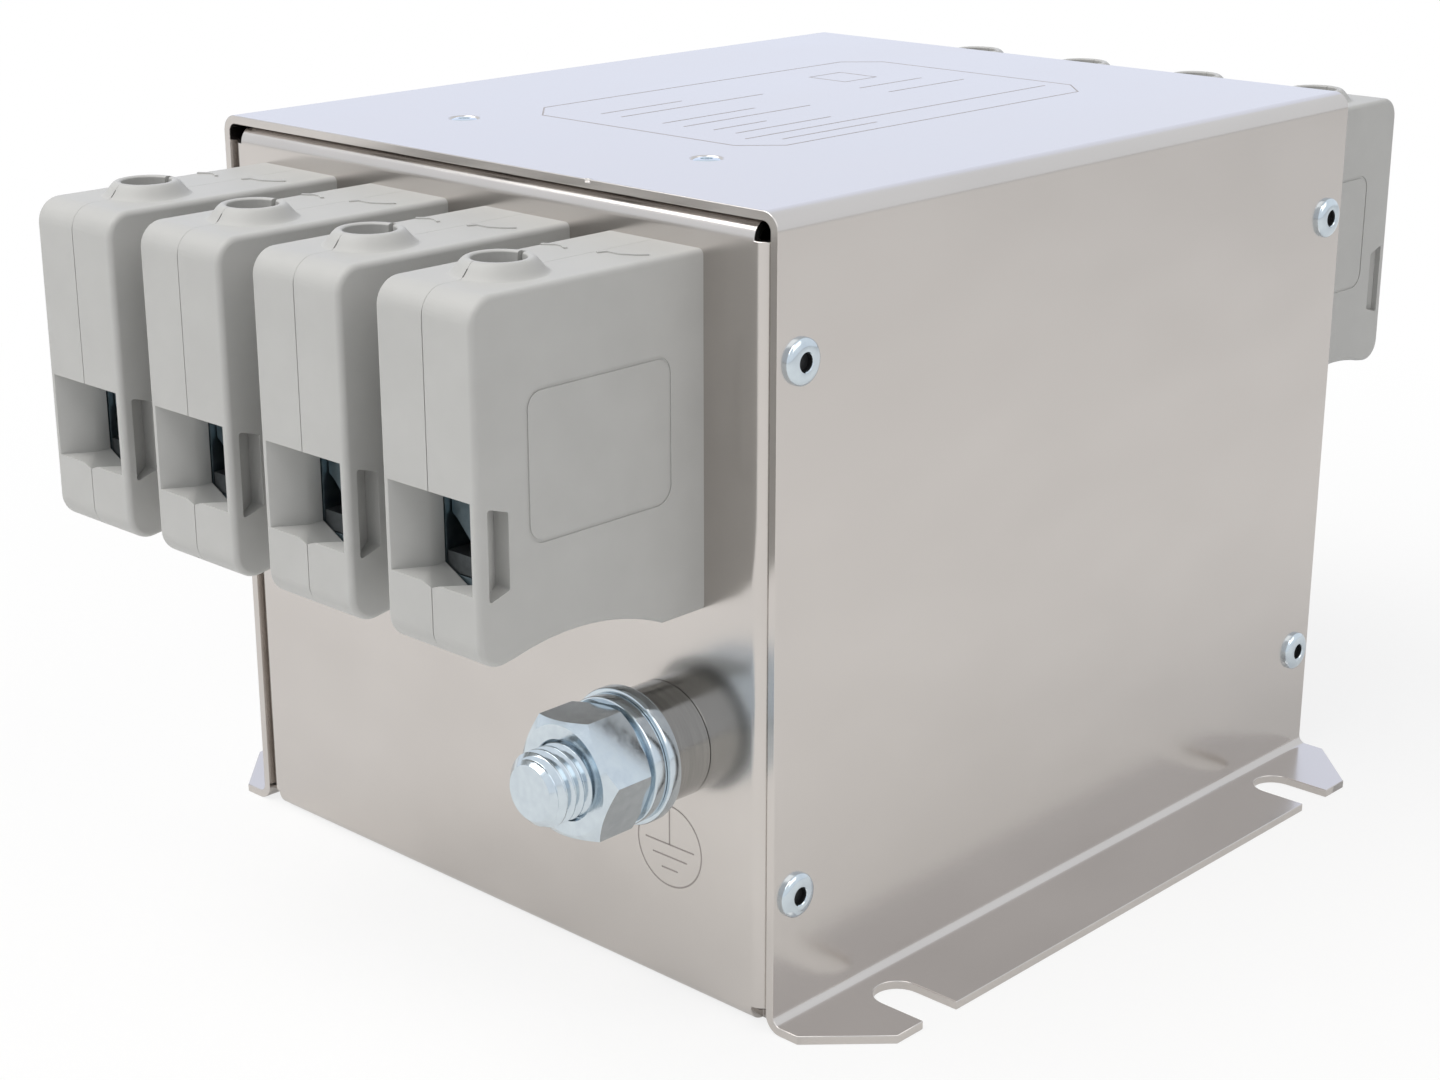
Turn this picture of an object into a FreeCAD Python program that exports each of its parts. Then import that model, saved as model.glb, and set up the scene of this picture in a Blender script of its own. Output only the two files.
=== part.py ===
"""Four-line EMI filter in a folded sheet-metal case, with feed-through terminals at both ends.

Frame: millimetres, +Z up, origin on the ground plane under the middle of the case.
+X runs across the case and +Y runs from the line end (front) to the load end (rear).
Each end carries four plastic terminal blocks and one earth stud, and the two ends mirror each other.
Inside, four copper bars run straight through two oval chokes, and a board below them carries the
capacitors. All sizes are millimetres.
"""
import FreeCAD, Part
import math
import os

# Case, folded from one thickness of sheet
case_width = 130.0
case_length = 156.0
case_height = 130.0
sheet = 1.5
cover_bend_inside = 1.5
wall_bend_inside = 1.5
lap_gap = 0.15
side_lip = 11.0
top_lip = 11.0

# Mounting flanges with slots that are open to the outside
flange_reach = 16.3
flange_end_step = 5.2
flange_corner = 11.0
slot_width = 8.4
slot_root = 3.7
slot_from_end = 21.5

# Terminal blocks, each moulded in two halves that meet on its middle plane
row_offset = -2.0
row_side_room = 8.6
terminal_count = 4
block_drop = 7.2
block_width = 20.2
block_reach = 45.0
block_height = 55.8
foot_flat = 8.4
arch_rise = 3.85
arch_from_front = 7.0
arch_end_rise = 2.7
nose_rise = 1.6
nose_radius = 4.0
seam_gap = 0.2
boss_height = 2.25
boss_top_radius = 6.0
boss_foot_radius = 8.6
screw_from_front = 14.4
screw_hole_radius = 4.1
recess_depth = 0.35
recess_from_wall = 6.9
recess_from_front = 9.4
recess_drop = 14.3
recess_height = 22.7

# Cable entry in the front of each block
entry_width = 17.5
entry_height = 13.6
entry_rise = 13.4
funnel_depth = 4.8
throat_width = 11.6
trench_mouth_half = 1.9
trench_mouth_depth = 0.7
trench_end_depth = 3.0
pocket_from_front = 1.9
pocket_length = 3.9
pocket_below_entry = 1.2
pocket_below_entry_top = 1.0
pocket_taper = 1.2
pocket_shallow = 1.1
pocket_deep = 3.1

# Neck of each block, which passes through the wall into a push-on retainer
neck_width = 14.8
neck_rise = 8.0
neck_drop = 13.8
neck_gap = 0.2
neck_length = 6.0
retainer_rim = 4.0
retainer_thickness = 2.4

# Box clamp with its screw, and copper bar
cage_width = 15.2
cage_depth = 13.0
cage_height = 27.0
cage_rise = 9.6
cage_floor = 2.4
cage_side = 1.8
cage_roof = 6.6
cage_gap = 0.3
screw_radius = 3.6
screw_head_drop = 8.8
bar_width = 11.0
bar_thickness = 3.0
bar_gap = 0.2

# Earth stud with its spacer, washers and nut
earth_from_side = 22.7
earth_below_blocks = 23.4
earth_radius = 6.0
earth_core_radius = 5.43
earth_thread_gap = 0.05
earth_tip_radius = 4.4
earth_tip_chamfer = 1.6
earth_reach = 29.3
earth_hole_gap = 0.3
earth_head_across_flats = 18.0
earth_head_height = 7.5
spacer_radius = 9.55
spacer_length = 7.9
washer_radius = 11.1
washer_thickness = 2.5
spring_radius = 10.4
spring_thickness = 2.5
spring_split = 1.0
nut_across_flats = 18.7
nut_height = 9.6
nut_turn = 6.5

# Choke, its cradle and its hold-down
core_end_room = 34.0
core_side_gap = 2.5
core_height = 34.0
core_wall = 9.0
core_bar_gap = 1.2
core_spacing = 16.0
cradle_sheet = 1.5
cradle_side_gap = 2.0
cradle_foot = 9.5
cradle_margin = 2.0
hold_down_side_room = 20.0
hold_down_lip_gap = 2.5

# Capacitor board on its spacers, with what stands on it
board_side_room = 15.0
board_end_room = 8.0
board_thickness = 1.6
board_spacer_across = 7.0
board_spacer_height = 8.0
board_spacer_inset = 6.0
insulation_thickness = 0.8
strap_width = 8.0
strap_thickness = 0.8
strap_foot = 7.0
strap_inset = 8.0
resistor_size = (16.0, 7.0, 7.0)
resistor_pitch = 22.0
resistor_count = 3
resistor_from_strap = 8.0
y_cap_size = (18.0, 8.0, 15.0)
y_cap_pitch = 24.0
y_cap_from_strap = 20.0
x_cap_side_room = 7.5
x_cap_end_gap = 12.5
x_cap_headroom = 11.1
x_cap_gap = 3.0

# Places that follow from the sizes above
half_length = case_length / 2
half_width = case_width / 2
chassis_half = half_width - sheet - lap_gap
chassis_top = case_height - sheet - lap_gap
wall_bend_outside = wall_bend_inside + sheet
terminal_pitch = (case_width - 2 * row_side_room) / terminal_count
block_top = case_height - block_drop
block_foot = block_top - block_height
entry_bottom = block_foot + entry_rise
entry_top = entry_bottom + entry_height
screw_from_wall = block_reach - screw_from_front
entry_depth = screw_from_front - cage_depth / 2 - cage_gap
arch_end_reach = block_reach - arch_from_front
neck_bottom = block_foot + neck_rise
neck_top = block_top - neck_drop
cage_bottom = block_foot + cage_rise
cage_top = cage_bottom + cage_height
screw_head_top = block_top - screw_head_drop
bar_bottom = cage_bottom + cage_floor + bar_gap
bar_top = bar_bottom + bar_thickness
bar_middle = (bar_bottom + bar_top) / 2
earth_x = half_width - earth_from_side
earth_z = block_foot - earth_below_blocks
core_span = half_length - core_end_room
core_length = core_span - core_spacing / 2
cradle_width = case_width - 2 * (sheet + cradle_side_gap)
core_width = cradle_width - 2 * core_side_gap
cradle_top = bar_middle - core_height / 2
hold_down_z = bar_middle + core_height / 2
board_width = case_width - 2 * board_side_room
board_length = case_length - 2 * board_end_room
board_bottom = sheet + board_spacer_height
board_top = board_bottom + board_thickness
strap_row = board_length / 2 - strap_inset
resistor_row = strap_row - resistor_from_strap
y_cap_row = strap_row - y_cap_from_strap
x_cap_width = (board_width - 2 * x_cap_side_room - x_cap_gap) / 2
x_cap_depth = y_cap_row - y_cap_size[1] / 2 - x_cap_end_gap - x_cap_gap / 2
x_cap_height = cradle_top - cradle_sheet - x_cap_headroom - board_top
terminal_x = []
for place in range(terminal_count):
    terminal_x.append(row_offset + (place - (terminal_count - 1) / 2) * terminal_pitch)


def vec(x, y, z):
    return FreeCAD.Vector(x, y, z)


AXIS_X = vec(1, 0, 0)
AXIS_Y = vec(0, 1, 0)
AXIS_Z = vec(0, 0, 1)


def front_y(distance):
    """The y of a point that stands this far out from the front wall's outer face."""
    return -half_length - distance


def block(x_range, y_range, z_range):
    """A box between two values on each axis, given in any order."""
    low = [min(pair) for pair in (x_range, y_range, z_range)]
    size = [abs(pair[1] - pair[0]) for pair in (x_range, y_range, z_range)]
    return Part.makeBox(size[0], size[1], size[2], vec(*low))


def rod(radius, base, axis, length):
    return Part.makeCylinder(radius, length, base, axis)


def mirror_y(shape):
    return shape.mirror(vec(0, 0, 0), AXIS_Y)


def fuse_all(shapes):
    return shapes[0].multiFuse(shapes[1:]).removeSplitter()


def rounded_edges(points, radii, place, closed):
    """Lines through 2-D points, with an arc of the given radius at each corner.

    place turns a 2-D point into a 3-D one.
    """
    count = len(points)
    stops = []
    for index in range(count):
        here = vec(points[index][0], points[index][1], 0)
        is_end = not closed and index in (0, count - 1)
        if is_end or radii[index] == 0:
            stops.append((here, here, None))
            continue
        before = vec(points[index - 1][0], points[index - 1][1], 0)
        after = vec(points[(index + 1) % count][0], points[(index + 1) % count][1], 0)
        back = (before - here).normalize()
        ahead = (after - here).normalize()
        half_angle = back.getAngle(ahead) / 2
        setback = radii[index] / math.tan(half_angle)
        bisector = (back + ahead).normalize()
        depth = radii[index] / math.sin(half_angle) - radii[index]
        stops.append((here + back * setback, here + ahead * setback, here + bisector * depth))
    edges = []
    last = count if closed else count - 1
    for index in range(count):
        start, end, middle = stops[index]
        if middle is not None:
            edges.append(Part.Arc(place(start), place(middle), place(end)).toShape())
        if index < last:
            next_start = stops[(index + 1) % count][0]
            if (next_start - end).Length > 1e-6:
                edges.append(Part.LineSegment(place(end), place(next_start)).toShape())
    return edges


def in_xz(y):
    return lambda point: vec(point.x, y, point.y)


def in_yz(x):
    return lambda point: vec(x, point.x, point.y)


def in_xy(z):
    return lambda point: vec(point.x, point.y, z)


def prism(points, place, direction, radii=None):
    """A closed 2-D outline, with optional corner radii, pulled along a direction."""
    corner_radii = radii or [0] * len(points)
    wire = Part.Wire(rounded_edges(points, corner_radii, place, True))
    return Part.Face(wire).extrude(direction)


def folded_sheet(points, inside_radius, place, direction, thickness):
    """Sheet folded along 2-D points that lie on one of its faces, with its body to their right.

    An inside radius of 0 gives sharp folds.
    """
    count = len(points)
    turns = [0] * count
    other = []
    for index in range(count):
        here = vec(points[index][0], points[index][1], 0)
        ahead = None
        behind = None
        if index < count - 1:
            ahead = (vec(points[index + 1][0], points[index + 1][1], 0) - here).normalize()
        if index > 0:
            behind = (here - vec(points[index - 1][0], points[index - 1][1], 0)).normalize()
        if behind is None or ahead is None:
            along = ahead or behind
            other.append(here + vec(along.y, -along.x, 0) * thickness)
            continue
        turns[index] = behind.cross(ahead).z
        side_a = vec(behind.y, -behind.x, 0)
        side_b = vec(ahead.y, -ahead.x, 0)
        bisector = (side_a + side_b).normalize()
        other.append(here + bisector * (thickness / bisector.dot(side_a)))
    outside_radius = inside_radius + thickness if inside_radius else 0
    face_radii = [outside_radius if turn < 0 else inside_radius for turn in turns]
    other_radii = [outside_radius if turn > 0 else inside_radius for turn in turns]
    back = [(point.x, point.y) for point in other]
    near_edges = rounded_edges(points, face_radii, place, False)
    far_edges = rounded_edges(back, other_radii, place, False)
    first = vec(points[0][0], points[0][1], 0)
    last = vec(points[-1][0], points[-1][1], 0)
    caps = [
        Part.LineSegment(place(first), place(other[0])).toShape(),
        Part.LineSegment(place(last), place(other[-1])).toShape(),
    ]
    wire = Part.Wire(Part.__sortEdges__(near_edges + far_edges + caps))
    return Part.Face(wire).extrude(direction)


def turned(profile, place, centre, axis):
    """A solid of revolution from a closed 2-D half profile."""
    wire = Part.Wire(rounded_edges(profile, [0] * len(profile), place, True))
    return Part.Face(wire).revolve(centre, axis, 360)


def hexagon(across_flats, centre, turn):
    """Hexagon corners in an x-z plane."""
    radius = across_flats / math.sqrt(3)
    corners = []
    for corner in range(6):
        angle = math.radians(turn + 60 * corner)
        x = centre[0] + radius * math.cos(angle)
        z = centre[1] + radius * math.sin(angle)
        corners.append((x, z))
    return corners


def cover():
    """Top and both sides folded from one sheet, with a slotted flange along each side."""
    tip = half_width + flange_reach
    outline = [
        (-tip, sheet),
        (-half_width, sheet),
        (-half_width, case_height),
        (half_width, case_height),
        (half_width, sheet),
        (tip, sheet),
    ]
    body = folded_sheet(
        outline, cover_bend_inside, in_xz(-half_length), AXIS_Y * case_length, sheet
    )
    cuts = []
    slot_radius = slot_width / 2
    slot_y = half_length - slot_from_end
    slot_x = half_width + slot_root + slot_radius
    for side in (-1, 1):
        for end in (-1, 1):
            corner = [
                (side * (half_width + flange_end_step), end * half_length),
                (side * tip, end * (half_length - flange_corner)),
                (side * (tip + 1), end * (half_length - flange_corner)),
                (side * (tip + 1), end * (half_length + 1)),
                (side * (half_width + flange_end_step), end * (half_length + 1)),
            ]
            cuts.append(prism(corner, in_xy(-1), AXIS_Z * (sheet + 2)))
            y_low = end * slot_y - slot_radius
            y_high = end * slot_y + slot_radius
            cuts.append(rod(slot_radius, vec(side * slot_x, end * slot_y, -1), AXIS_Z, sheet + 2))
            cuts.append(block((side * slot_x, side * (tip + 1)), (y_low, y_high), (-1, sheet + 1)))
    return body.cut(Part.makeCompound(cuts)).removeSplitter()


def chassis():
    """Floor, both end walls and their lips, folded from one sheet that sits inside the cover."""
    outline = [
        (half_length - top_lip, chassis_top),
        (half_length, chassis_top),
        (half_length, 0),
        (-half_length, 0),
        (-half_length, chassis_top),
        (-half_length + top_lip, chassis_top),
    ]
    body = folded_sheet(
        outline, wall_bend_inside, in_yz(-chassis_half), AXIS_X * (2 * chassis_half), sheet
    )
    pieces = []
    corners = []
    relief = wall_bend_outside
    for side in (-1, 1):
        for end in (-1, 1):
            lip_outline = [
                (side * (chassis_half - relief), end * half_length),
                (side * chassis_half, end * half_length),
                (side * chassis_half, end * (half_length - side_lip)),
            ]
            if side * end < 0:
                lip_outline.reverse()
            lip = folded_sheet(
                lip_outline,
                wall_bend_inside,
                in_xy(relief),
                AXIS_Z * (chassis_top - 2 * relief),
                sheet,
            )
            pieces.append(lip)
            x_range = (side * (chassis_half - relief), side * (chassis_half + 1))
            end_range = (end * (half_length - relief), end * (half_length + 1))
            corners.append(block(x_range, end_range, (-1, case_height)))
            corners.append(
                block(x_range, (0, end * (half_length + 1)), (chassis_top - relief, case_height))
            )
    body = fuse_all([body.cut(Part.makeCompound(corners))] + pieces)
    cuts = []
    for x in terminal_x:
        reach = neck_width / 2 + neck_gap
        cuts.append(
            block(
                (x - reach, x + reach),
                (-half_length - 1, half_length + 1),
                (neck_bottom - neck_gap, neck_top + neck_gap),
            )
        )
    stud_start = vec(earth_x, -half_length - 1, earth_z)
    cuts.append(rod(earth_radius + earth_hole_gap, stud_start, AXIS_Y, case_length + 2))
    return body.cut(Part.makeCompound(cuts)).removeSplitter()


def block_outline(x):
    """Side outline of a terminal block, as edges in the plane at this x."""
    place = in_yz(x)
    corners = [
        (front_y(arch_end_reach), block_foot + arch_end_rise),
        (front_y(block_reach), block_foot + nose_rise),
        (front_y(block_reach), block_top),
        (front_y(0), block_top),
        (front_y(0), block_foot),
        (front_y(foot_flat), block_foot),
    ]
    radii = [0, nose_radius, nose_radius, 0, 0, 0]
    edges = rounded_edges(corners, radii, place, False)
    middle = vec(front_y((foot_flat + arch_end_reach) / 2), block_foot + arch_rise, 0)
    start = vec(corners[-1][0], corners[-1][1], 0)
    end = vec(corners[0][0], corners[0][1], 0)
    edges.append(Part.Arc(place(start), place(middle), place(end)).toShape())
    return Part.Wire(edges)


def whole_block():
    """One terminal block at x = 0 on the front wall, before it is split into halves."""
    half = block_width / 2
    body = Part.Face(block_outline(-half)).extrude(AXIS_X * block_width)
    boss_base = vec(0, front_y(screw_from_wall), block_top)
    boss = Part.makeCone(boss_foot_radius, boss_top_radius, boss_height, boss_base, AXIS_Z)
    neck_half = neck_width / 2
    neck = block((-neck_half, neck_half), (front_y(1), front_y(-neck_length)), (neck_bottom, neck_top))
    return fuse_all([body, boss, neck])


def trench():
    """The trench in the floor of the cable entry, shallow at the mouth and deep at the clamp."""
    lift = entry_height / 2
    rims = []
    stations = [
        (front_y(block_reach + 1), trench_mouth_half, trench_mouth_depth),
        (front_y(block_reach), trench_mouth_half, trench_mouth_depth),
        (front_y(block_reach - funnel_depth), throat_width / 2, trench_end_depth),
        (front_y(block_reach - entry_depth), throat_width / 2, trench_end_depth),
    ]
    for y, half, depth in stations:
        corners = [
            vec(-half, y, entry_bottom + lift),
            vec(-half, y, entry_bottom),
            vec(0, y, entry_bottom - depth),
            vec(half, y, entry_bottom),
            vec(half, y, entry_bottom + lift),
        ]
        rims.append(corners)
    faces = [Part.Face(Part.makePolygon(rims[0] + rims[0][:1]))]
    faces.append(Part.Face(Part.makePolygon(rims[-1] + rims[-1][:1])))
    for near, far in zip(rims, rims[1:]):
        for index in range(5):
            after = (index + 1) % 5
            here = near[index]
            there = far[after]
            if index == 2:
                here = near[after]
                there = far[index]
            first = [near[index], near[after], there]
            second = [far[index], far[after], here]
            for corners in (first, second):
                faces.append(Part.Face(Part.makePolygon(corners + corners[:1])))
    return Part.Solid(Part.Shell(faces)).removeSplitter()


def side_pocket(side):
    """The wedge-shaped pocket in a block's side: shallow at the mouth end, deep at the wall end."""
    half = block_width / 2
    far = block_reach - pocket_from_front
    near = far - pocket_length
    low = entry_bottom - pocket_below_entry
    high = entry_top - pocket_below_entry_top
    outline = [
        (front_y(far), low),
        (front_y(far), high),
        (front_y(near), high - pocket_taper),
        (front_y(near), low + pocket_taper),
    ]
    pull = AXIS_X * (side * (pocket_deep + 1))
    room = prism(outline, in_yz(side * (half - pocket_deep)), pull)
    wedge = [
        (side * (half - pocket_shallow), front_y(far)),
        (side * (half - pocket_deep), front_y(near)),
        (side * (half + 1), front_y(near)),
        (side * (half + 1), front_y(far)),
    ]
    return room.common(prism(wedge, in_xy(low - 1), AXIS_Z * (high - low + 2)))


def block_hollows():
    """Everything that is cut out of a terminal block."""
    half = block_width / 2
    entry_half = entry_width / 2
    throat_half = throat_width / 2
    mouth = front_y(block_reach)
    throat = front_y(block_reach - funnel_depth)
    entry_end = front_y(block_reach - entry_depth)
    entry_outline = [
        (-entry_half, mouth - 1),
        (entry_half, mouth - 1),
        (entry_half, mouth),
        (throat_half, throat),
        (throat_half, entry_end),
        (-throat_half, entry_end),
        (-throat_half, throat),
        (-entry_half, mouth),
    ]
    entry = prism(entry_outline, in_xy(entry_bottom), AXIS_Z * entry_height)
    cage_y = front_y(screw_from_wall)
    cage_room = block(
        (-cage_width / 2 - cage_gap, cage_width / 2 + cage_gap),
        (cage_y - cage_depth / 2 - cage_gap, cage_y + cage_depth / 2 + cage_gap),
        (cage_bottom - cage_gap, cage_top + cage_gap),
    )
    bar_room = block(
        (-bar_width / 2 - bar_gap, bar_width / 2 + bar_gap),
        (cage_y, front_y(-neck_length - 1)),
        (bar_bottom - bar_gap, bar_top + bar_gap),
    )
    hole_top = block_top + boss_height + 1
    hole = rod(screw_hole_radius, vec(0, cage_y, cage_top), AXIS_Z, hole_top - cage_top)
    hollows = [entry, trench(), cage_room, bar_room, hole]
    recess_far = block_reach - recess_from_front
    recess_top = block_top - recess_drop
    recess_bottom = recess_top - recess_height
    recess_outline = [
        (front_y(recess_from_wall), recess_bottom),
        (front_y(recess_from_wall), recess_top),
        (front_y(recess_far), recess_top),
        (front_y(recess_far), recess_bottom),
    ]
    for side in (-1, 1):
        hollows.append(side_pocket(side))
        pull = AXIS_X * (side * (recess_depth + 1))
        hollows.append(prism(recess_outline, in_yz(side * (half - recess_depth)), pull))
    return Part.makeCompound(hollows)


def terminal_shells():
    """The left and right halves of a terminal block at x = 0 on the front wall."""
    body = whole_block().cut(block_hollows())
    y_range = (front_y(block_reach + 1), front_y(-neck_length - 1))
    z_range = (block_foot - 1, block_top + boss_height + 1)
    halves = []
    for side in (-1, 1):
        room = block((side * seam_gap / 2, side * block_width), y_range, z_range)
        halves.append(body.common(room).removeSplitter())
    return halves


def clamp():
    """Steel box clamp round the end of the copper bar, with its screw turned back in the roof."""
    y = front_y(screw_from_wall)
    y_range = (y - cage_depth / 2, y + cage_depth / 2)
    half = cage_width / 2
    inner_half = half - cage_side
    window_z = (cage_bottom + cage_floor, cage_top - cage_roof)
    cage = block((-half, half), y_range, (cage_bottom, cage_top))
    window = block((-inner_half, inner_half), (y_range[0] - 1, y_range[1] + 1), window_z)
    screw = rod(screw_radius, vec(0, y, window_z[1]), AXIS_Z, screw_head_top - window_z[1])
    return cage.cut(window).fuse(screw)


def retainer():
    """Push-on frame that holds a block's neck against the inside of the wall, at x = 0."""
    neck_half = neck_width / 2 + neck_gap
    hole_z = (neck_bottom - neck_gap, neck_top + neck_gap)
    y_near = front_y(-sheet)
    y_far = front_y(-sheet - retainer_thickness)
    outer_half = neck_half + retainer_rim
    plate = block(
        (-outer_half, outer_half), (y_near, y_far), (hole_z[0] - retainer_rim, hole_z[1] + retainer_rim)
    )
    hole = block((-neck_half, neck_half), (y_near - 1, y_far + 1), hole_z)
    return plate.cut(hole)


def phase_bar(x):
    """One copper bar from the clamp at the line end to the clamp at the load end."""
    end_y = front_y(screw_from_wall + cage_depth / 2)
    return block((x - bar_width / 2, x + bar_width / 2), (end_y, -end_y), (bar_bottom, bar_top))


def earth_bolt():
    """Hexagon bolt whose head is inside the case and whose threaded end is the earth stud."""
    across = hexagon(earth_head_across_flats, (earth_x, earth_z), 0)
    head = prism(across, in_xz(front_y(-sheet)), AXIS_Y * earth_head_height)
    nut_face = spacer_length + washer_thickness + spring_thickness + nut_height
    profile = [
        (0, -sheet - 1),
        (earth_core_radius, -sheet - 1),
        (earth_core_radius, nut_face),
        (earth_radius, nut_face),
        (earth_radius, earth_reach - earth_tip_chamfer),
        (earth_tip_radius, earth_reach),
        (0, earth_reach),
    ]

    def place(point):
        return vec(earth_x + point.x, front_y(point.y), earth_z)

    shank = turned(profile, place, vec(earth_x, 0, earth_z), AXIS_Y)
    return head.fuse(shank).removeSplitter()


def earth_ring(inner, outer, start, length):
    """A ring on the earth stud that starts this far out from the wall."""
    base = vec(earth_x, front_y(start), earth_z)
    ring = rod(outer, base, -AXIS_Y, length)
    return ring.cut(rod(inner, base + AXIS_Y, -AXIS_Y, length + 2))


def earth_spacer():
    return earth_ring(earth_radius + earth_hole_gap, spacer_radius, 0, spacer_length)


def earth_washer():
    inner = earth_radius + earth_hole_gap
    return earth_ring(inner, washer_radius, spacer_length, washer_thickness)


def earth_spring_washer():
    """Spring washer pressed flat, with its slanted split."""
    start = spacer_length + washer_thickness
    body = earth_ring(earth_radius + earth_hole_gap, spring_radius, start, spring_thickness)
    lean = spring_thickness * 0.6
    near = front_y(start - 1)
    far = front_y(start + spring_thickness + 1)
    split = [
        (earth_x - lean, near),
        (earth_x - lean + spring_split, near),
        (earth_x + lean + spring_split, far),
        (earth_x + lean, far),
    ]
    return body.cut(prism(split, in_xy(earth_z), AXIS_Z * (spring_radius + 1)))


def earth_nut():
    """Hexagon nut, turned as it sits in the photograph."""
    start = spacer_length + washer_thickness + spring_thickness
    corners = hexagon(nut_across_flats, (earth_x, earth_z), nut_turn)
    body = prism(corners, in_xz(front_y(start)), -AXIS_Y * nut_height)
    bore_start = vec(earth_x, front_y(start - 1), earth_z)
    return body.cut(rod(earth_core_radius + earth_thread_gap, bore_start, -AXIS_Y, nut_height + 2))


def choke_core(y_start):
    """Rectangular core in its coating: all four bars pass through its window."""
    half = core_width / 2
    inner_half = bar_width / 2 + core_bar_gap - terminal_x[0]
    y_end = y_start + core_length
    body = block((-half, half), (y_start, y_end), (cradle_top, hold_down_z))
    window_z = (cradle_top + core_wall, hold_down_z - core_wall)
    return body.cut(block((-inner_half, inner_half), (y_start - 1, y_end + 1), window_z))


def choke_cradle():
    """Folded stand that carries the cores above the board, with its feet on the floor."""
    half = cradle_width / 2
    outline = [
        (-half + cradle_foot, sheet),
        (-half, sheet),
        (-half, cradle_top),
        (half, cradle_top),
        (half, sheet),
        (half - cradle_foot, sheet),
    ]
    depth = core_span + cradle_margin
    return folded_sheet(outline, 0, in_xz(-depth), AXIS_Y * (2 * depth), cradle_sheet)


def choke_hold_down():
    """Folded plate that is riveted under the cover's top and presses on both cores."""
    depth = core_span + cradle_margin
    tab_top = case_height - sheet
    outline = [
        (-half_length + top_lip + hold_down_lip_gap, tab_top),
        (-depth + sheet, tab_top),
        (-depth + sheet, hold_down_z + sheet),
        (depth, hold_down_z + sheet),
    ]
    half = half_width - hold_down_side_room
    return folded_sheet(outline, 0, in_yz(-half), AXIS_X * (2 * half), sheet)


def board_corners():
    """Places of the four spacers under the board."""
    x = board_width / 2 - board_spacer_inset
    y = board_length / 2 - board_spacer_inset
    return [(-x, -y), (x, -y), (-x, y), (x, y)]


def capacitor_board():
    body = block(
        (-board_width / 2, board_width / 2),
        (-board_length / 2, board_length / 2),
        (board_bottom, board_top),
    )
    return body


def board_spacers():
    spacers = []
    for x, y in board_corners():
        outline = hexagon(board_spacer_across, (x, y), 0)
        spacers.append(prism(outline, in_xy(sheet), AXIS_Z * board_spacer_height))
    return Part.makeCompound(spacers)


def floor_insulation():
    """Insulating sheet on the floor, between the spacers under the board."""
    half_x = board_width / 2 - 2 * board_spacer_inset
    half_y = board_length / 2
    return block((-half_x, half_x), (-half_y, half_y), (sheet, sheet + insulation_thickness))


def boxed(size, centre):
    """A component in a box-shaped case that stands on the board."""
    x, y = centre
    width, depth, height = size
    return block(
        (x - width / 2, x + width / 2), (y - depth / 2, y + depth / 2), (board_top, board_top + height)
    )


def x_capacitors():
    """Line-to-line capacitors, two by two on the board."""
    size = (x_cap_width, x_cap_depth, x_cap_height)
    x = (x_cap_width + x_cap_gap) / 2
    y = (x_cap_depth + x_cap_gap) / 2
    centres = [(-x, -y), (x, -y), (-x, y), (x, y)]
    return Part.makeCompound([boxed(size, centre) for centre in centres])


def y_capacitors():
    """Line-to-earth capacitors, one for each bar at each end of the board."""
    shapes = []
    for y in (-y_cap_row, y_cap_row):
        for index in range(terminal_count):
            x = (index - (terminal_count - 1) / 2) * y_cap_pitch
            shapes.append(boxed(y_cap_size, (x, y)))
    return Part.makeCompound(shapes)


def bleed_resistors():
    """Discharge resistors in box-shaped cement cases, in a row near the line end."""
    shapes = []
    for index in range(resistor_count):
        x = (index - (resistor_count - 1) / 2) * resistor_pitch
        shapes.append(boxed(resistor_size, (x, -resistor_row)))
    return Part.makeCompound(shapes)


def capacitor_straps():
    """Copper straps at the line end, folded from under each bar down onto the board."""
    near = -strap_row - strap_foot / 2
    far = -strap_row + strap_foot / 2
    inner = near + strap_thickness
    outline = [
        (far, bar_bottom),
        (near, bar_bottom),
        (near, board_top),
        (far, board_top),
        (far, board_top + strap_thickness),
        (inner, board_top + strap_thickness),
        (inner, bar_bottom - strap_thickness),
        (far, bar_bottom - strap_thickness),
    ]
    straps = []
    for x in terminal_x:
        straps.append(prism(outline, in_yz(x - strap_width / 2), AXIS_X * strap_width))
    return Part.makeCompound(straps)


def both_ends(shape):
    """The same piece at the line end and, mirrored, at the load end."""
    return Part.makeCompound([shape, mirror_y(shape)])


def build():
    """Every node's name and shape."""
    nodes = {
        "cover": cover(),
        "chassis": chassis(),
        "choke_cradle": choke_cradle(),
        "choke_hold_down": choke_hold_down(),
        "line_choke_core": choke_core(-core_span),
        "load_choke_core": choke_core(core_spacing / 2),
        "capacitor_board": capacitor_board(),
        "board_spacers": board_spacers(),
        "floor_insulation": floor_insulation(),
        "x_capacitors": x_capacitors(),
        "y_capacitors": y_capacitors(),
        "bleed_resistors": bleed_resistors(),
        "capacitor_straps": both_ends(capacitor_straps()),
        "earth_bolts": both_ends(earth_bolt()),
        "earth_spacers": both_ends(earth_spacer()),
        "earth_washers": both_ends(earth_washer()),
        "earth_spring_washers": both_ends(earth_spring_washer()),
        "earth_nuts": both_ends(earth_nut()),
    }
    left, right = terminal_shells()
    one_clamp = clamp()
    frame = retainer()
    frames = []
    for index, x in enumerate(terminal_x):
        number = index + 1
        move = vec(x, 0, 0)
        nodes[f"terminal_{number}_left_shells"] = both_ends(left.translated(move))
        nodes[f"terminal_{number}_right_shells"] = both_ends(right.translated(move))
        nodes[f"terminal_{number}_clamps"] = both_ends(one_clamp.translated(move))
        nodes[f"phase_bar_{number}"] = phase_bar(x)
        frames.append(frame.translated(move))
    nodes["terminal_retainers"] = both_ends(Part.makeCompound(frames))
    return nodes


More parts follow.
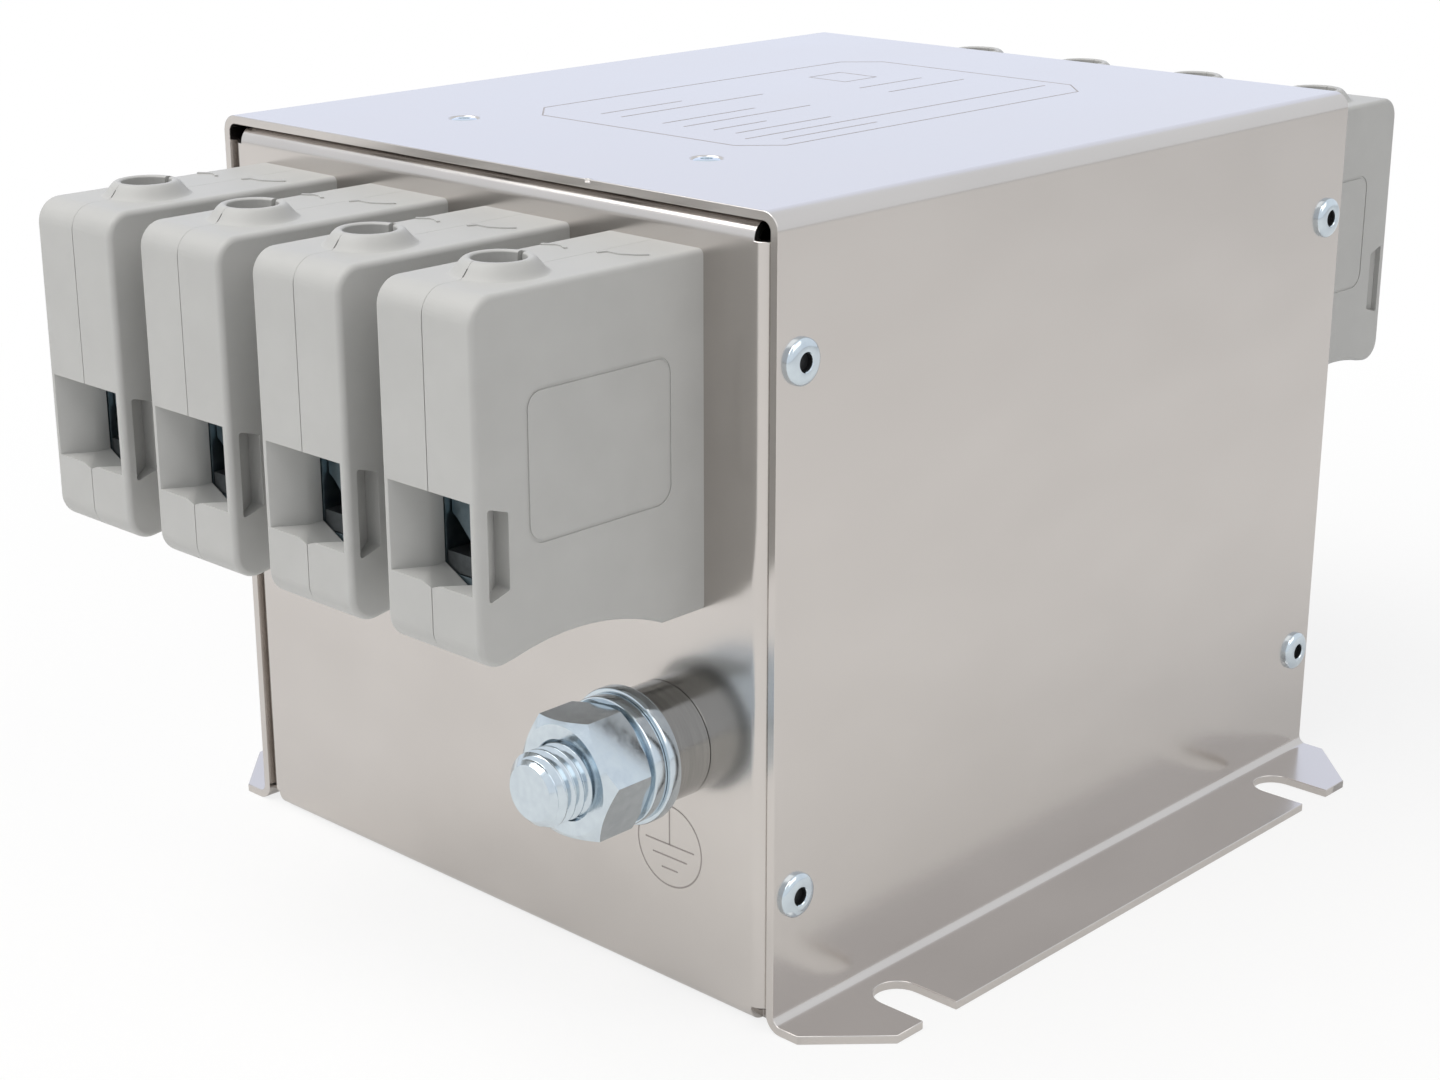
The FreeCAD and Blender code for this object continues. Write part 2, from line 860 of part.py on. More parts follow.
def main():
    os.makedirs("parts", exist_ok=True)
    nodes = build()
    for name, shape in nodes.items():
        shape.exportStep(f"parts/{name}.step")
        print(name, len(shape.Solids), "solids", round(shape.Volume, 1), "mm3", shape.isValid())
    print(len(nodes), "nodes")


main()
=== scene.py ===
# %% [markdown]
# # Dressing a four-line EMI filter
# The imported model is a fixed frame: a folded steel case, four plastic terminals at each end and an
# earth stud below them. This script leaves every size as it is and gives each piece its finish.
# Pieces whose plain solid lacks rounded edges, threads or marks are modelled again over it.

# %% Load the frame
import math
import bmesh
import bpy
from mathutils import Matrix, Vector


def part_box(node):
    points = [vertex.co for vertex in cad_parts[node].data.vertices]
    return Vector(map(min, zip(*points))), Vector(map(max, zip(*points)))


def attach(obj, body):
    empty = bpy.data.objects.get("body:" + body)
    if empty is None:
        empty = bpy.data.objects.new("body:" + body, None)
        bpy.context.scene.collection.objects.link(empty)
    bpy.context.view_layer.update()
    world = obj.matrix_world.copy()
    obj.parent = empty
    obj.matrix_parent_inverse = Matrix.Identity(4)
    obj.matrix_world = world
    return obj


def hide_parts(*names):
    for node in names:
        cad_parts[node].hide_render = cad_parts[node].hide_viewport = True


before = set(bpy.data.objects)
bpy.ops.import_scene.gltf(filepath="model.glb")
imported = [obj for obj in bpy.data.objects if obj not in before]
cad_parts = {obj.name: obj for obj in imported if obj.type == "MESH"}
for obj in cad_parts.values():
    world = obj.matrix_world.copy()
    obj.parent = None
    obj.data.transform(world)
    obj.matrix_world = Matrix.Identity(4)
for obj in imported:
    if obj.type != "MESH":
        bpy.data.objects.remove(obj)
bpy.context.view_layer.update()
scene = bpy.context.scene
MM = 0.001

# %% [markdown]
# ## Measures from the frame
# Each place below is read from the frame's nodes, in millimetres, so that the dressed pieces stay on
# the solids that carry them. `out` is the distance from the end wall's outer face.

# %% Read the places of the case and the terminals
def node_box(name):
    """Lowest and highest corner of a node, in millimetres."""
    return [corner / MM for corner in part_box(name)]


TERMINALS = 4
case_low, case_high = node_box("cover")
wall_high = node_box("chassis")[1]
shell_low, shell_high = node_box("terminal_1_right_shells")
bar_boxes = [node_box(f"phase_bar_{number + 1}") for number in range(TERMINALS)]
terminal_x = [(low.x + high.x) / 2 for low, high in bar_boxes]
terminal_pitch = terminal_x[1] - terminal_x[0]
wall_out = wall_high.y
case_top = case_high.z
# The cover's box takes in its flanges, so the place of its side walls is written here.
case_side = 65.0
block_foot = shell_low.z
boss_top = shell_high.z
block_reach = shell_high.y - wall_out
block_half = shell_high.x - terminal_x[0]
print("terminals at", [round(x, 2) for x in terminal_x], "reach", round(block_reach, 2))
print("block from", round(block_foot, 2), "to", round(boss_top, 2), "half width", round(block_half, 2))

# %% [markdown]
# ## Small tools
# A solid is drawn in millimetres as a pulled or a turned outline, joined and cut with exact
# Booleans, and then turned to metres. One function adds a node to any tree, for materials and for
# Geometry Nodes alike.

# %% Tools for outlines and solids
def rounded(points, radii, steps=6):
    """A closed 2-D outline with an arc at each corner."""
    outline = []
    for index, point in enumerate(points):
        here = Vector(point)
        radius = radii[index] if isinstance(radii, (list, tuple)) else radii
        if radius == 0:
            outline.append(here)
            continue
        back = (Vector(points[index - 1]) - here).normalized()
        ahead = (Vector(points[(index + 1) % len(points)]) - here).normalized()
        half_angle = back.angle(ahead) / 2
        centre = here + (back + ahead).normalized() * (radius / math.sin(half_angle))
        start = here + back * (radius / math.tan(half_angle)) - centre
        end = here + ahead * (radius / math.tan(half_angle)) - centre
        first = math.atan2(start.y, start.x)
        turn = (math.atan2(end.y, end.x) - first + math.pi) % (2 * math.pi) - math.pi
        for step in range(steps + 1):
            angle = first + turn * step / steps
            outline.append(centre + Vector((math.cos(angle), math.sin(angle))) * radius)
    return outline


def prism(outline, place, pull):
    """A closed solid: a 2-D outline put in space by a function and pulled along a vector."""
    bm = bmesh.new()
    near = [bm.verts.new(place(point)) for point in outline]
    far = [bm.verts.new(place(point) + Vector(pull)) for point in outline]
    bm.faces.new(near)
    bm.faces.new(reversed(far))
    for index in range(len(near)):
        bm.faces.new((near[index - 1], near[index], far[index], far[index - 1]))
    bmesh.ops.recalc_face_normals(bm, faces=bm.faces)
    return bm


def box_solid(low, high):
    """A closed box between two corners."""
    outline = [(low[0], low[1]), (high[0], low[1]), (high[0], high[1]), (low[0], high[1])]
    return prism(outline, lambda p: Vector((p[0], p[1], low[2])), (0, 0, high[2] - low[2]))


def hexagon(across_flats):
    """The corners of a hexagon, the first one on the +X axis."""
    radius = across_flats / math.sqrt(3)
    angles = [math.radians(60 * corner) for corner in range(6)]
    return [(radius * math.cos(a), radius * math.sin(a)) for a in angles]


def turned(profile, steps=96):
    """A closed solid of revolution about Z from a closed loop of (radius, height) points."""
    bm = bmesh.new()
    rings = []
    for radius, height in profile:
        if radius == 0:
            rings.append([bm.verts.new((0, 0, height))])
            continue
        angles = [2 * math.pi * step / steps for step in range(steps)]
        rings.append([bm.verts.new((radius * math.cos(a), radius * math.sin(a), height)) for a in angles])
    for index, ring in enumerate(rings):
        before = rings[index - 1]
        if len(ring) == 1 and len(before) == 1:
            continue
        for step in range(steps):
            ahead = (step + 1) % steps
            corners = [before[step % len(before)], before[ahead % len(before)]]
            corners += [ring[ahead % len(ring)], ring[step % len(ring)]]
            bm.faces.new(list(dict.fromkeys(corners)))
    bmesh.ops.recalc_face_normals(bm, faces=bm.faces)
    return bm


def as_object(bm, name, matrix=None):
    """Puts a bmesh into the scene as an object, turned by a matrix, still in millimetres."""
    mesh = bpy.data.meshes.new(name)
    bm.to_mesh(mesh)
    bm.free()
    if matrix is not None:
        mesh.transform(matrix)
    thing = bpy.data.objects.new(name, mesh)
    scene.collection.objects.link(thing)
    return thing


def evaluated_mesh(thing):
    """The object's mesh with its modifiers applied, as plain mesh data."""
    bpy.context.view_layer.update()
    depsgraph = bpy.context.evaluated_depsgraph_get()
    return bpy.data.meshes.new_from_object(thing.evaluated_get(depsgraph))


def machined(body, tools):
    """Joins, cuts or intersects the body with each tool in order, and removes the tools."""
    for tool, operation in tools:
        modifier = body.modifiers.new(tool.name, "BOOLEAN")
        modifier.operation = operation
        modifier.solver = "EXACT"
        modifier.object = tool
    body.data = evaluated_mesh(body)
    body.modifiers.clear()
    for tool, _ in tools:
        bpy.data.objects.remove(tool)
    return body


def broken_edges(thing, width, steep=50):
    """Rounds every edge that turns by more than this many degrees."""
    bevel = thing.modifiers.new("Broken edges", "BEVEL")
    bevel.width = width
    bevel.segments = 2
    bevel.limit_method = "ANGLE"
    bevel.angle_limit = math.radians(steep)
    bevel.use_clamp_overlap = False
    thing.data = evaluated_mesh(thing)
    thing.modifiers.clear()
    return thing


def softened(mesh, sharp_angle=35):
    """Smooth shading, apart from edges that turn by more than this many degrees."""
    mesh.shade_smooth()
    mesh.set_sharp_from_angle(angle=math.radians(sharp_angle))
    return mesh


def finished(thing, material, nodes=(), sharp_angle=35):
    """Turns a piece to metres, evens its shading, and gives it its finish, body and nodes."""
    thing.data.transform(Matrix.Scale(MM, 4))
    softened(thing.data, sharp_angle)
    weighted = thing.modifiers.new("Even shading", "WEIGHTED_NORMAL")
    weighted.keep_sharp = True
    thing.data = evaluated_mesh(thing)
    thing.modifiers.clear()
    thing.data.materials.clear()
    thing.data.materials.append(material)
    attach(thing, "root")
    if nodes:
        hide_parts(*nodes)
    triangles = sum(len(face.vertices) - 2 for face in thing.data.polygons)
    print(thing.name, "has", triangles, "triangles")
    return thing


# %% Tools for node trees
def add(tree, kind, settings=None, links=None):
    """Adds a node, sets its options and values, and joins its inputs to other nodes' outputs."""
    node = tree.nodes.new(kind)
    for key, value in (settings or {}).items():
        if isinstance(key, str) and hasattr(node, key):
            setattr(node, key, value)
        else:
            node.inputs[key].default_value = value
    for key, source in (links or {}).items():
        tree.links.new(source, node.inputs[key])
    return node


def grown(thing, tree, values):
    """Runs a Geometry Nodes tree on an object with these inputs and keeps the plain mesh."""
    modifier = thing.modifiers.new(tree.name, "NODES")
    modifier.node_group = tree
    for item in tree.interface.items_tree:
        if item.item_type == "SOCKET" and item.in_out == "INPUT" and item.name in values:
            modifier[item.identifier] = values[item.name]
    thing.data = evaluated_mesh(thing)
    thing.modifiers.clear()
    return thing


def geometry_tree(name, sockets):
    """An empty Geometry Nodes tree with these named inputs, and its input node."""
    tree = bpy.data.node_groups.new(name, "GeometryNodeTree")
    tree.interface.new_socket("Geometry", in_out="INPUT", socket_type="NodeSocketGeometry")
    tree.interface.new_socket("Geometry", in_out="OUTPUT", socket_type="NodeSocketGeometry")
    for label, kind in sockets:
        tree.interface.new_socket(label, in_out="INPUT", socket_type="NodeSocket" + kind)
    return tree, tree.nodes.new("NodeGroupInput")


def close_tree(tree, source, geometry):
    """Ends a tree: real geometry, then its material, then the output."""
    real = add(tree, "GeometryNodeRealizeInstances", links={"Geometry": geometry})
    dressed = add(
        tree,
        "GeometryNodeSetMaterial",
        links={"Geometry": real.outputs[0], "Material": source.outputs["Material"]},
    )
    add(tree, "NodeGroupOutput", links={"Geometry": dressed.outputs[0]})


# %% [markdown]
# ## Finishes
# Each finish starts from the real material. Colours are written as sRGB hex values and turned to
# linear light by one function. Patterns are sized in millimetres: Object coordinates are metres, so
# a Scale of 1000 / size repeats about once in `size` millimetres.

# %% Colour and pattern helpers
def colour(code):
    """A linear RGBA colour from an sRGB hex code."""
    channels = [int(code[index : index + 2], 16) / 255 for index in (1, 3, 5)]
    linear = [c / 12.92 if c <= 0.04045 else ((c + 0.055) / 1.055) ** 2.4 for c in channels]
    return (*linear, 1.0)


def per_mm(size):
    """The noise Scale, on Object coordinates in metres, of a pattern this many mm wide."""
    return 1 / (size * MM)


def new_material(name, base, metallic, roughness):
    """A material with a Principled shader, and the nodes that the finish builds on."""
    material = bpy.data.materials.new(name)
    material.use_nodes = True
    tree = material.node_tree
    shader = tree.nodes["Principled BSDF"]
    shader.inputs["Base Color"].default_value = colour(base)
    shader.inputs["Metallic"].default_value = metallic
    shader.inputs["Roughness"].default_value = roughness
    place = add(tree, "ShaderNodeTexCoord").outputs["Object"]
    return material, tree, shader, place


def vary(tree, shader, place, size, roughness, stretch=(1, 1, 1), shades=None, detail=3):
    """Varies the roughness, and the colour between two shades, by a noise of this size in mm."""
    mapped = add(tree, "ShaderNodeMapping", {"Scale": stretch}, {"Vector": place})
    noise = add(
        tree,
        "ShaderNodeTexNoise",
        {"Scale": per_mm(size), "Detail": detail},
        {"Vector": mapped.outputs[0]},
    )
    rough = add(
        tree,
        "ShaderNodeMapRange",
        {"From Min": 0.3, "From Max": 0.7, "To Min": roughness[0], "To Max": roughness[1]},
        {"Value": noise.outputs["Fac"]},
    )
    tree.links.new(rough.outputs[0], shader.inputs["Roughness"])
    if shades:
        ramp = add(tree, "ShaderNodeValToRGB", links={"Fac": noise.outputs["Fac"]})
        ramp.color_ramp.elements[0].position = 0.3
        ramp.color_ramp.elements[1].position = 0.7
        ramp.color_ramp.elements[0].color = colour(shades[0])
        ramp.color_ramp.elements[1].color = colour(shades[1])
        tree.links.new(ramp.outputs["Color"], shader.inputs["Base Color"])
    return noise


def relief(tree, shader, place, size, depth, stretch=(1, 1, 1), strength=1.0, detail=2):
    """A fine bump of this size and depth, both in mm."""
    mapped = add(tree, "ShaderNodeMapping", {"Scale": stretch}, {"Vector": place})
    noise = add(
        tree,
        "ShaderNodeTexNoise",
        {"Scale": per_mm(size), "Detail": detail},
        {"Vector": mapped.outputs[0]},
    )
    bump = add(
        tree,
        "ShaderNodeBump",
        {"Strength": strength, "Distance": depth * MM},
        {"Height": noise.outputs["Fac"]},
    )
    tree.links.new(bump.outputs[0], shader.inputs["Normal"])
    return bump


# %% [markdown]
# ### Plated sheet steel
# The case is cold-rolled steel sheet with a smooth, warm grey plating. Its skin is satin: it blurs
# a reflection evenly, with broad, very weak clouds where the bath was a little stronger. The inner
# sheet is plain rolled steel, whose fine lines run along the sheet.

# %% Plated sheet steel
case_steel, tree, shader, place = new_material("plated_sheet_steel", "#CAC5C1", 1.0, 0.2)
vary(tree, shader, place, 22.0, (0.19, 0.23), (1, 0.6, 1.4), shades=("#C8C3BF", "#CCC7C3"), detail=1)
relief(tree, shader, place, 45.0, 0.02, strength=0.3)
inner_steel, tree, shader, place = new_material("plain_rolled_sheet", "#B9B6B2", 1.0, 0.38)
vary(tree, shader, place, 0.6, (0.35, 0.41), (1, 0.02, 1))
relief(tree, shader, place, 0.5, 0.004, (1, 0.02, 1), 0.25)
print("finishes", case_steel.name, inner_steel.name)

# %% [markdown]
# ### Moulded polyamide
# The terminal blocks are grey polyamide from an injection mould. Its spark-eroded cavity gives a
# soft, even sheen with a very fine grain, and the colour hardly varies.

# %% Moulded polyamide
housing, tree, shader, place = new_material("moulded_polyamide", "#BCBCBA", 0.0, 0.55)
shader.inputs["IOR"].default_value = 1.53
vary(tree, shader, place, 9.0, (0.5, 0.6), shades=("#BABAB8", "#BFBFBD"))
relief(tree, shader, place, 0.35, 0.02, strength=0.35)
print("finish", housing.name)

# %% [markdown]
# ### Zinc plate, turned steel and the clamp
# The nut, stud, washers and rivets have a blue passivated zinc coat: bright, bluish, with small
# soft spots where crystals grew. The spacer is bare turned steel: darker than the zinc and a little
# smoother, so its reflections are sharper. The clamp's coat is a rougher blue grey, painted darker
# than the zinc as painted shade of the deep entry. The rivets' hollows are painted near black, a
# painted shade deep inside them, and the laser has left its lines grey and matt.

# %% Zinc, turned steel and clamp steel
zinc, tree, shader, place = new_material("blue_passivated_zinc", "#C9D3DA", 1.0, 0.15)
vary(tree, shader, place, 1.6, (0.11, 0.2), shades=("#C4CED6", "#CED8DE"))
relief(tree, shader, place, 0.8, 0.008, strength=0.25)
turned_steel, tree, shader, place = new_material("turned_steel", "#A9AAA9", 1.0, 0.1)
vary(tree, shader, place, 0.5, (0.07, 0.13), (0.05, 1, 0.05), shades=("#A4A5A4", "#AEAFAE"))
# The clamp's darker colour is painted shade of the deep entry, on a rougher blue-grey coat.
clamp_steel, tree, shader, place = new_material("clamp_steel", "#7D8C93", 1.0, 0.4)
vary(tree, shader, place, 1.5, (0.33, 0.47), shades=("#75848B", "#86959C"))
# Near black: painted shade for the inside of the rivets' hollows.
rivet_shade_black, tree, shader, place = new_material("steel_painted_black_as_shade", "#161719", 0.3, 0.6)
vary(tree, shader, place, 0.4, (0.5, 0.7), shades=("#111213", "#1C1D1F"))
laser_mark, tree, shader, place = new_material("laser_marked_steel", "#A39C98", 0.6, 0.5)
vary(tree, shader, place, 0.3, (0.45, 0.6), shades=("#9C9591", "#ABA4A0"))
print("finishes", [item.name for item in (zinc, turned_steel, clamp_steel, rivet_shade_black, laser_mark)])

# %% [markdown]
# ### Inner pieces
# Copper straps, the coated cores, the board, the film capacitors and the cement resistors are out of
# sight, but anyone who opens the case should find them in their own materials. Only the bars' ends
# show, below the jaw of each clamp; their tin is painted a dull, dark grey, a painted shade of the
# dark slot.

# %% Inner finishes
# Tin on copper, painted dark grey as shade below the jaws.
tin_darkened_as_shade, tree, shader, place = new_material("tin_on_copper_painted_dark", "#717577", 1.0, 0.45)
vary(tree, shader, place, 0.8, (0.4, 0.5), (1, 0.03, 1), shades=("#6B6F71", "#787C7E"))
copper, tree, shader, place = new_material("rolled_copper", "#C98A63", 1.0, 0.3)
vary(tree, shader, place, 0.8, (0.24, 0.36), (1, 0.03, 1), shades=("#BE7F58", "#D3966F"))
core_coat, tree, shader, place = new_material("epoxy_coated_core", "#4B5560", 0.0, 0.45)
vary(tree, shader, place, 4.0, (0.38, 0.55), shades=("#464F59", "#505B66"))
relief(tree, shader, place, 2.5, 0.05, strength=0.4)
board_laminate, tree, shader, place = new_material("glass_epoxy_board", "#4E6B46", 0.0, 0.4)
vary(tree, shader, place, 0.8, (0.35, 0.48), shades=("#4A6642", "#53714B"))
insulator, tree, shader, place = new_material("insulating_card", "#C9BFA6", 0.0, 0.7)
vary(tree, shader, place, 2.0, (0.62, 0.78), shades=("#C3B89F", "#CFC6AE"))
film_case, tree, shader, place = new_material("capacitor_case", "#B7B19A", 0.0, 0.4)
vary(tree, shader, place, 6.0, (0.35, 0.45), shades=("#B2AC95", "#BCB69F"))
cement, tree, shader, place = new_material("cast_cement", "#D8D6D0", 0.0, 0.85)
vary(tree, shader, place, 0.9, (0.8, 0.92), shades=("#CFCDC6", "#DEDCD7"))
relief(tree, shader, place, 0.4, 0.03, strength=0.5)

inner_finishes = {
    "choke_cradle": inner_steel,
    "choke_hold_down": inner_steel,
    "line_choke_core": core_coat,
    "load_choke_core": core_coat,
    "capacitor_board": board_laminate,
    "board_spacers": zinc,
    "floor_insulation": insulator,
    "x_capacitors": film_case,
    "y_capacitors": film_case,
    "bleed_resistors": cement,
    "capacitor_straps": copper,
    "terminal_retainers": housing,
}
for number in range(TERMINALS):
    inner_finishes[f"phase_bar_{number + 1}"] = tin_darkened_as_shade
for name, material in inner_finishes.items():
    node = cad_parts[name]
    node.data.materials.clear()
    node.data.materials.append(material)
print(len(inner_finishes), "nodes keep their own mesh")

# %% [markdown]
# ## Folded case
# The case is two folded sheets: a cover with slotted flanges, and a chassis of floor, end walls and
# lips. The frame has every fold and cut already, so a copy of each mesh is merged into whole faces
# and its sheared edges are broken, which gives them the thin bright line of real sheet metal.

# %% Sheet metal from the frame
SHEAR_BREAK = 0.16
NICK_X = 26.3
FLUSH_RIVETS = [(-30.9, -52.4), (26.9, -52.6)]
FLUSH_RADIUS = 2.8
NICK_HALF = 0.5
DIMPLE_DEPTH = 0.55
DIMPLE_SLOPE = 0.35
MARK_ROOM = 0.02


def sheet_copy(name, node):
    """A merged copy of a sheet node in millimetres; its top leaves room for the marks' thickness."""
    bm = bmesh.new()
    bm.from_mesh(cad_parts[node].data)
    bmesh.ops.remove_doubles(bm, verts=bm.verts, dist=0.000001)
    bmesh.ops.dissolve_limit(bm, angle_limit=math.radians(0.5), verts=bm.verts, edges=bm.edges)
    bmesh.ops.scale(bm, vec=(1 / MM, 1 / MM, 1 / MM), verts=bm.verts)
    for vert in bm.verts:
        if vert.co.z > case_top - 0.001:
            vert.co.z -= MARK_ROOM
    return as_object(bm, name)


def nick():
    """The mark that the cutter left where it entered the cover's front edge."""
    front = case_low.y
    low = (NICK_X - NICK_HALF, front - 1, case_top - NICK_HALF)
    high = (NICK_X + NICK_HALF, front + NICK_HALF, case_top + 1)
    return as_object(box_solid(low, high), "nick")


def dimple(x, y):
    """The shallow seat that a flush rivet pulls into the top."""
    bottom = case_top - DIMPLE_DEPTH
    profile = [(0, bottom), (FLUSH_RADIUS - DIMPLE_SLOPE, bottom), (FLUSH_RADIUS, case_top)]
    profile += [(FLUSH_RADIUS + 0.2, case_top + 1), (0, case_top + 1)]
    return as_object(turned(profile, 64), "dimple", Matrix.Translation((x, y, 0)))


cover_tools = [(nick(), "DIFFERENCE")] + [(dimple(x, y), "DIFFERENCE") for x, y in FLUSH_RIVETS]
cover_sheet = broken_edges(machined(sheet_copy("cover_sheet", "cover"), cover_tools), SHEAR_BREAK)
finished(cover_sheet, case_steel, ["cover"])
chassis_sheet = broken_edges(sheet_copy("chassis_sheet", "chassis"), SHEAR_BREAK)
finished(chassis_sheet, case_steel, ["chassis"])

# %% [markdown]
# ## Terminal blocks
# Each block is moulded in two halves that meet on its middle plane. The outer edges are rounded,
# the nose more than the rest. A half is drawn as a side outline pulled outwards and bevelled; the
# boss is joined on, and the cable entry, the clamp's room and the screw hole are cut away.

# %% Outline of a block's side
BOSS_HEIGHT = 2.25
block_top = boss_top - BOSS_HEIGHT
NOSE_RADIUS = 4.0
NOSE_RISE = 1.6
FOOT_FLAT = 8.4
ARCH_RISE = 3.85
ARCH_END_RISE = 2.7
ARCH_FROM_FRONT = 7.0
EDGE_RADIUS = 0.95


def on_block(out, z, x=0.0):
    """A point at this distance out from the front wall."""
    return Vector((x, -wall_out - out, z))


def arc_through(start, middle, end, steps):
    """Points on the circle through three 2-D points, from start to end."""
    (ax, ay), (bx, by), (cx, cy) = start, middle, end
    d = 2 * (ax * (by - cy) + bx * (cy - ay) + cx * (ay - by))
    a2, b2, c2 = ax * ax + ay * ay, bx * bx + by * by, cx * cx + cy * cy
    ux = (a2 * (by - cy) + b2 * (cy - ay) + c2 * (ay - by)) / d
    uy = (a2 * (cx - bx) + b2 * (ax - cx) + c2 * (bx - ax)) / d
    radius = math.hypot(ax - ux, ay - uy)
    first = math.atan2(ay - uy, ax - ux)
    turn = (math.atan2(cy - uy, cx - ux) - first + math.pi) % (2 * math.pi) - math.pi
    angles = [first + turn * step / steps for step in range(steps + 1)]
    return [(ux + radius * math.cos(a), uy + radius * math.sin(a)) for a in angles]


def block_outline():
    """Side outline of a block, as (out, z) points."""
    arch_end = block_reach - ARCH_FROM_FRONT
    nose = rounded(
        [
            (arch_end, block_foot + ARCH_END_RISE),
            (block_reach, block_foot + NOSE_RISE),
            (block_reach, block_top),
            (0, block_top),
            (0, block_foot),
            (FOOT_FLAT, block_foot),
        ],
        [0, NOSE_RADIUS, NOSE_RADIUS, 0, 0, 0],
        10,
    )
    arch_middle = ((FOOT_FLAT + arch_end) / 2, block_foot + ARCH_RISE)
    arch = arc_through((FOOT_FLAT, block_foot), arch_middle, (arch_end, block_foot + ARCH_END_RISE), 20)
    return [tuple(point) for point in nose] + arch[1:-1]


# %% [markdown]
# The screw hole goes down through a low collar whose side is a soft slope. The cable entry narrows
# like a funnel to its throat, and the trench in its floor gets wider and deeper on the way there.

# %% Hollows of a block
SCREW_OUT = block_reach - 14.4
HOLE_RADIUS = 4.1
BOSS_SHOULDER = 4.7
BOSS_FOOT_RADIUS = 7.4
BOSS_SINK = 0.02
HOLE_LIP = 0.15
NOTCH_HALF = 0.5
NOTCH_DEPTH = 0.7
NOTCH_LENGTH = 5.0
TICK_HALF = 0.14
TICK_FROM_AXIS = (5.8, 7.0)
SEAM_HALF = 0.03
NECK_HALF = 7.4
NECK_RISE = 8.0
NECK_DROP = 13.8
NECK_LENGTH = 6.0
ENTRY_HALF = 8.75
ENTRY_RISE = 13.4
ENTRY_HEIGHT = 13.6
FUNNEL_DEPTH = 4.8
THROAT_HALF = 5.8
TRENCH_MOUTH = (1.9, 0.7)
TRENCH_END_DEPTH = 3.0
CAGE_RISE = 9.6
CAGE_HEIGHT = 27.0
CAGE_ROOM = (7.9, 6.8)
CAGE_GAP = 0.3
CUT_OVERLAP = 0.2
BAR_ROOM_HALF = 5.7
BAR_GAP = 0.2
entry_low = block_foot + ENTRY_RISE
entry_high = entry_low + ENTRY_HEIGHT
cage_front = SCREW_OUT + CAGE_ROOM[1]
cage_low = block_foot + CAGE_RISE - CAGE_GAP
cage_high = block_foot + CAGE_RISE + CAGE_HEIGHT + CAGE_GAP
bar_low, bar_high = bar_boxes[0][0].z - BAR_GAP, bar_boxes[0][1].z + BAR_GAP
print("entry from", round(entry_low, 2), "to", round(entry_high, 2))


def boss():
    """The raised collar round the screw hole: a soft shoulder that flows out into the top."""
    profile = [(0, block_top - 1), (BOSS_FOOT_RADIUS, block_top - 1)]
    for step in range(17):
        share = step / 16
        across = BOSS_FOOT_RADIUS + (BOSS_SHOULDER - BOSS_FOOT_RADIUS) * share
        smooth = (BOSS_HEIGHT + BOSS_SINK) * share * share * (3 - 2 * share)
        profile.append((across, block_top - BOSS_SINK + smooth))
    profile.append((0, boss_top))
    return as_object(turned(profile), "boss", Matrix.Translation(on_block(SCREW_OUT, 0)))


def faceted(rims, name):
    """A closed solid through rims of five points; its creases at the third point lean inwards."""
    bm = bmesh.new()
    rings = [[bm.verts.new(point) for point in rim] for rim in rims]
    bm.faces.new(rings[0])
    bm.faces.new(rings[-1])
    for near, far in zip(rings, rings[1:]):
        for index in range(5):
            after = (index + 1) % 5
            if index == 2:
                bm.faces.new((near[index], near[after], far[after]))
                bm.faces.new((near[index], far[after], far[index]))
            else:
                bm.faces.new((near[index], near[after], far[index]))
                bm.faces.new((near[after], far[after], far[index]))
    bmesh.ops.recalc_face_normals(bm, faces=bm.faces)
    return as_object(bm, name)


def trench():
    """The trench in the entry's floor: narrow and shallow in front, full width at the clamp."""
    rims = []
    throat_out = block_reach - FUNNEL_DEPTH
    stations = [(block_reach + 1, *TRENCH_MOUTH), (block_reach, *TRENCH_MOUTH)]
    stations.append((throat_out, THROAT_HALF, TRENCH_END_DEPTH))
    stations.append((cage_front - CUT_OVERLAP, THROAT_HALF, TRENCH_END_DEPTH))
    for out, half, depth in stations:
        middle = entry_low + ENTRY_HEIGHT / 2
        rim = [on_block(out, middle, -half), on_block(out, entry_low, -half)]
        rim.append(on_block(out, entry_low - depth))
        rims.append(rim + [on_block(out, entry_low, half), on_block(out, middle, half)])
    return faceted(rims, "trench")


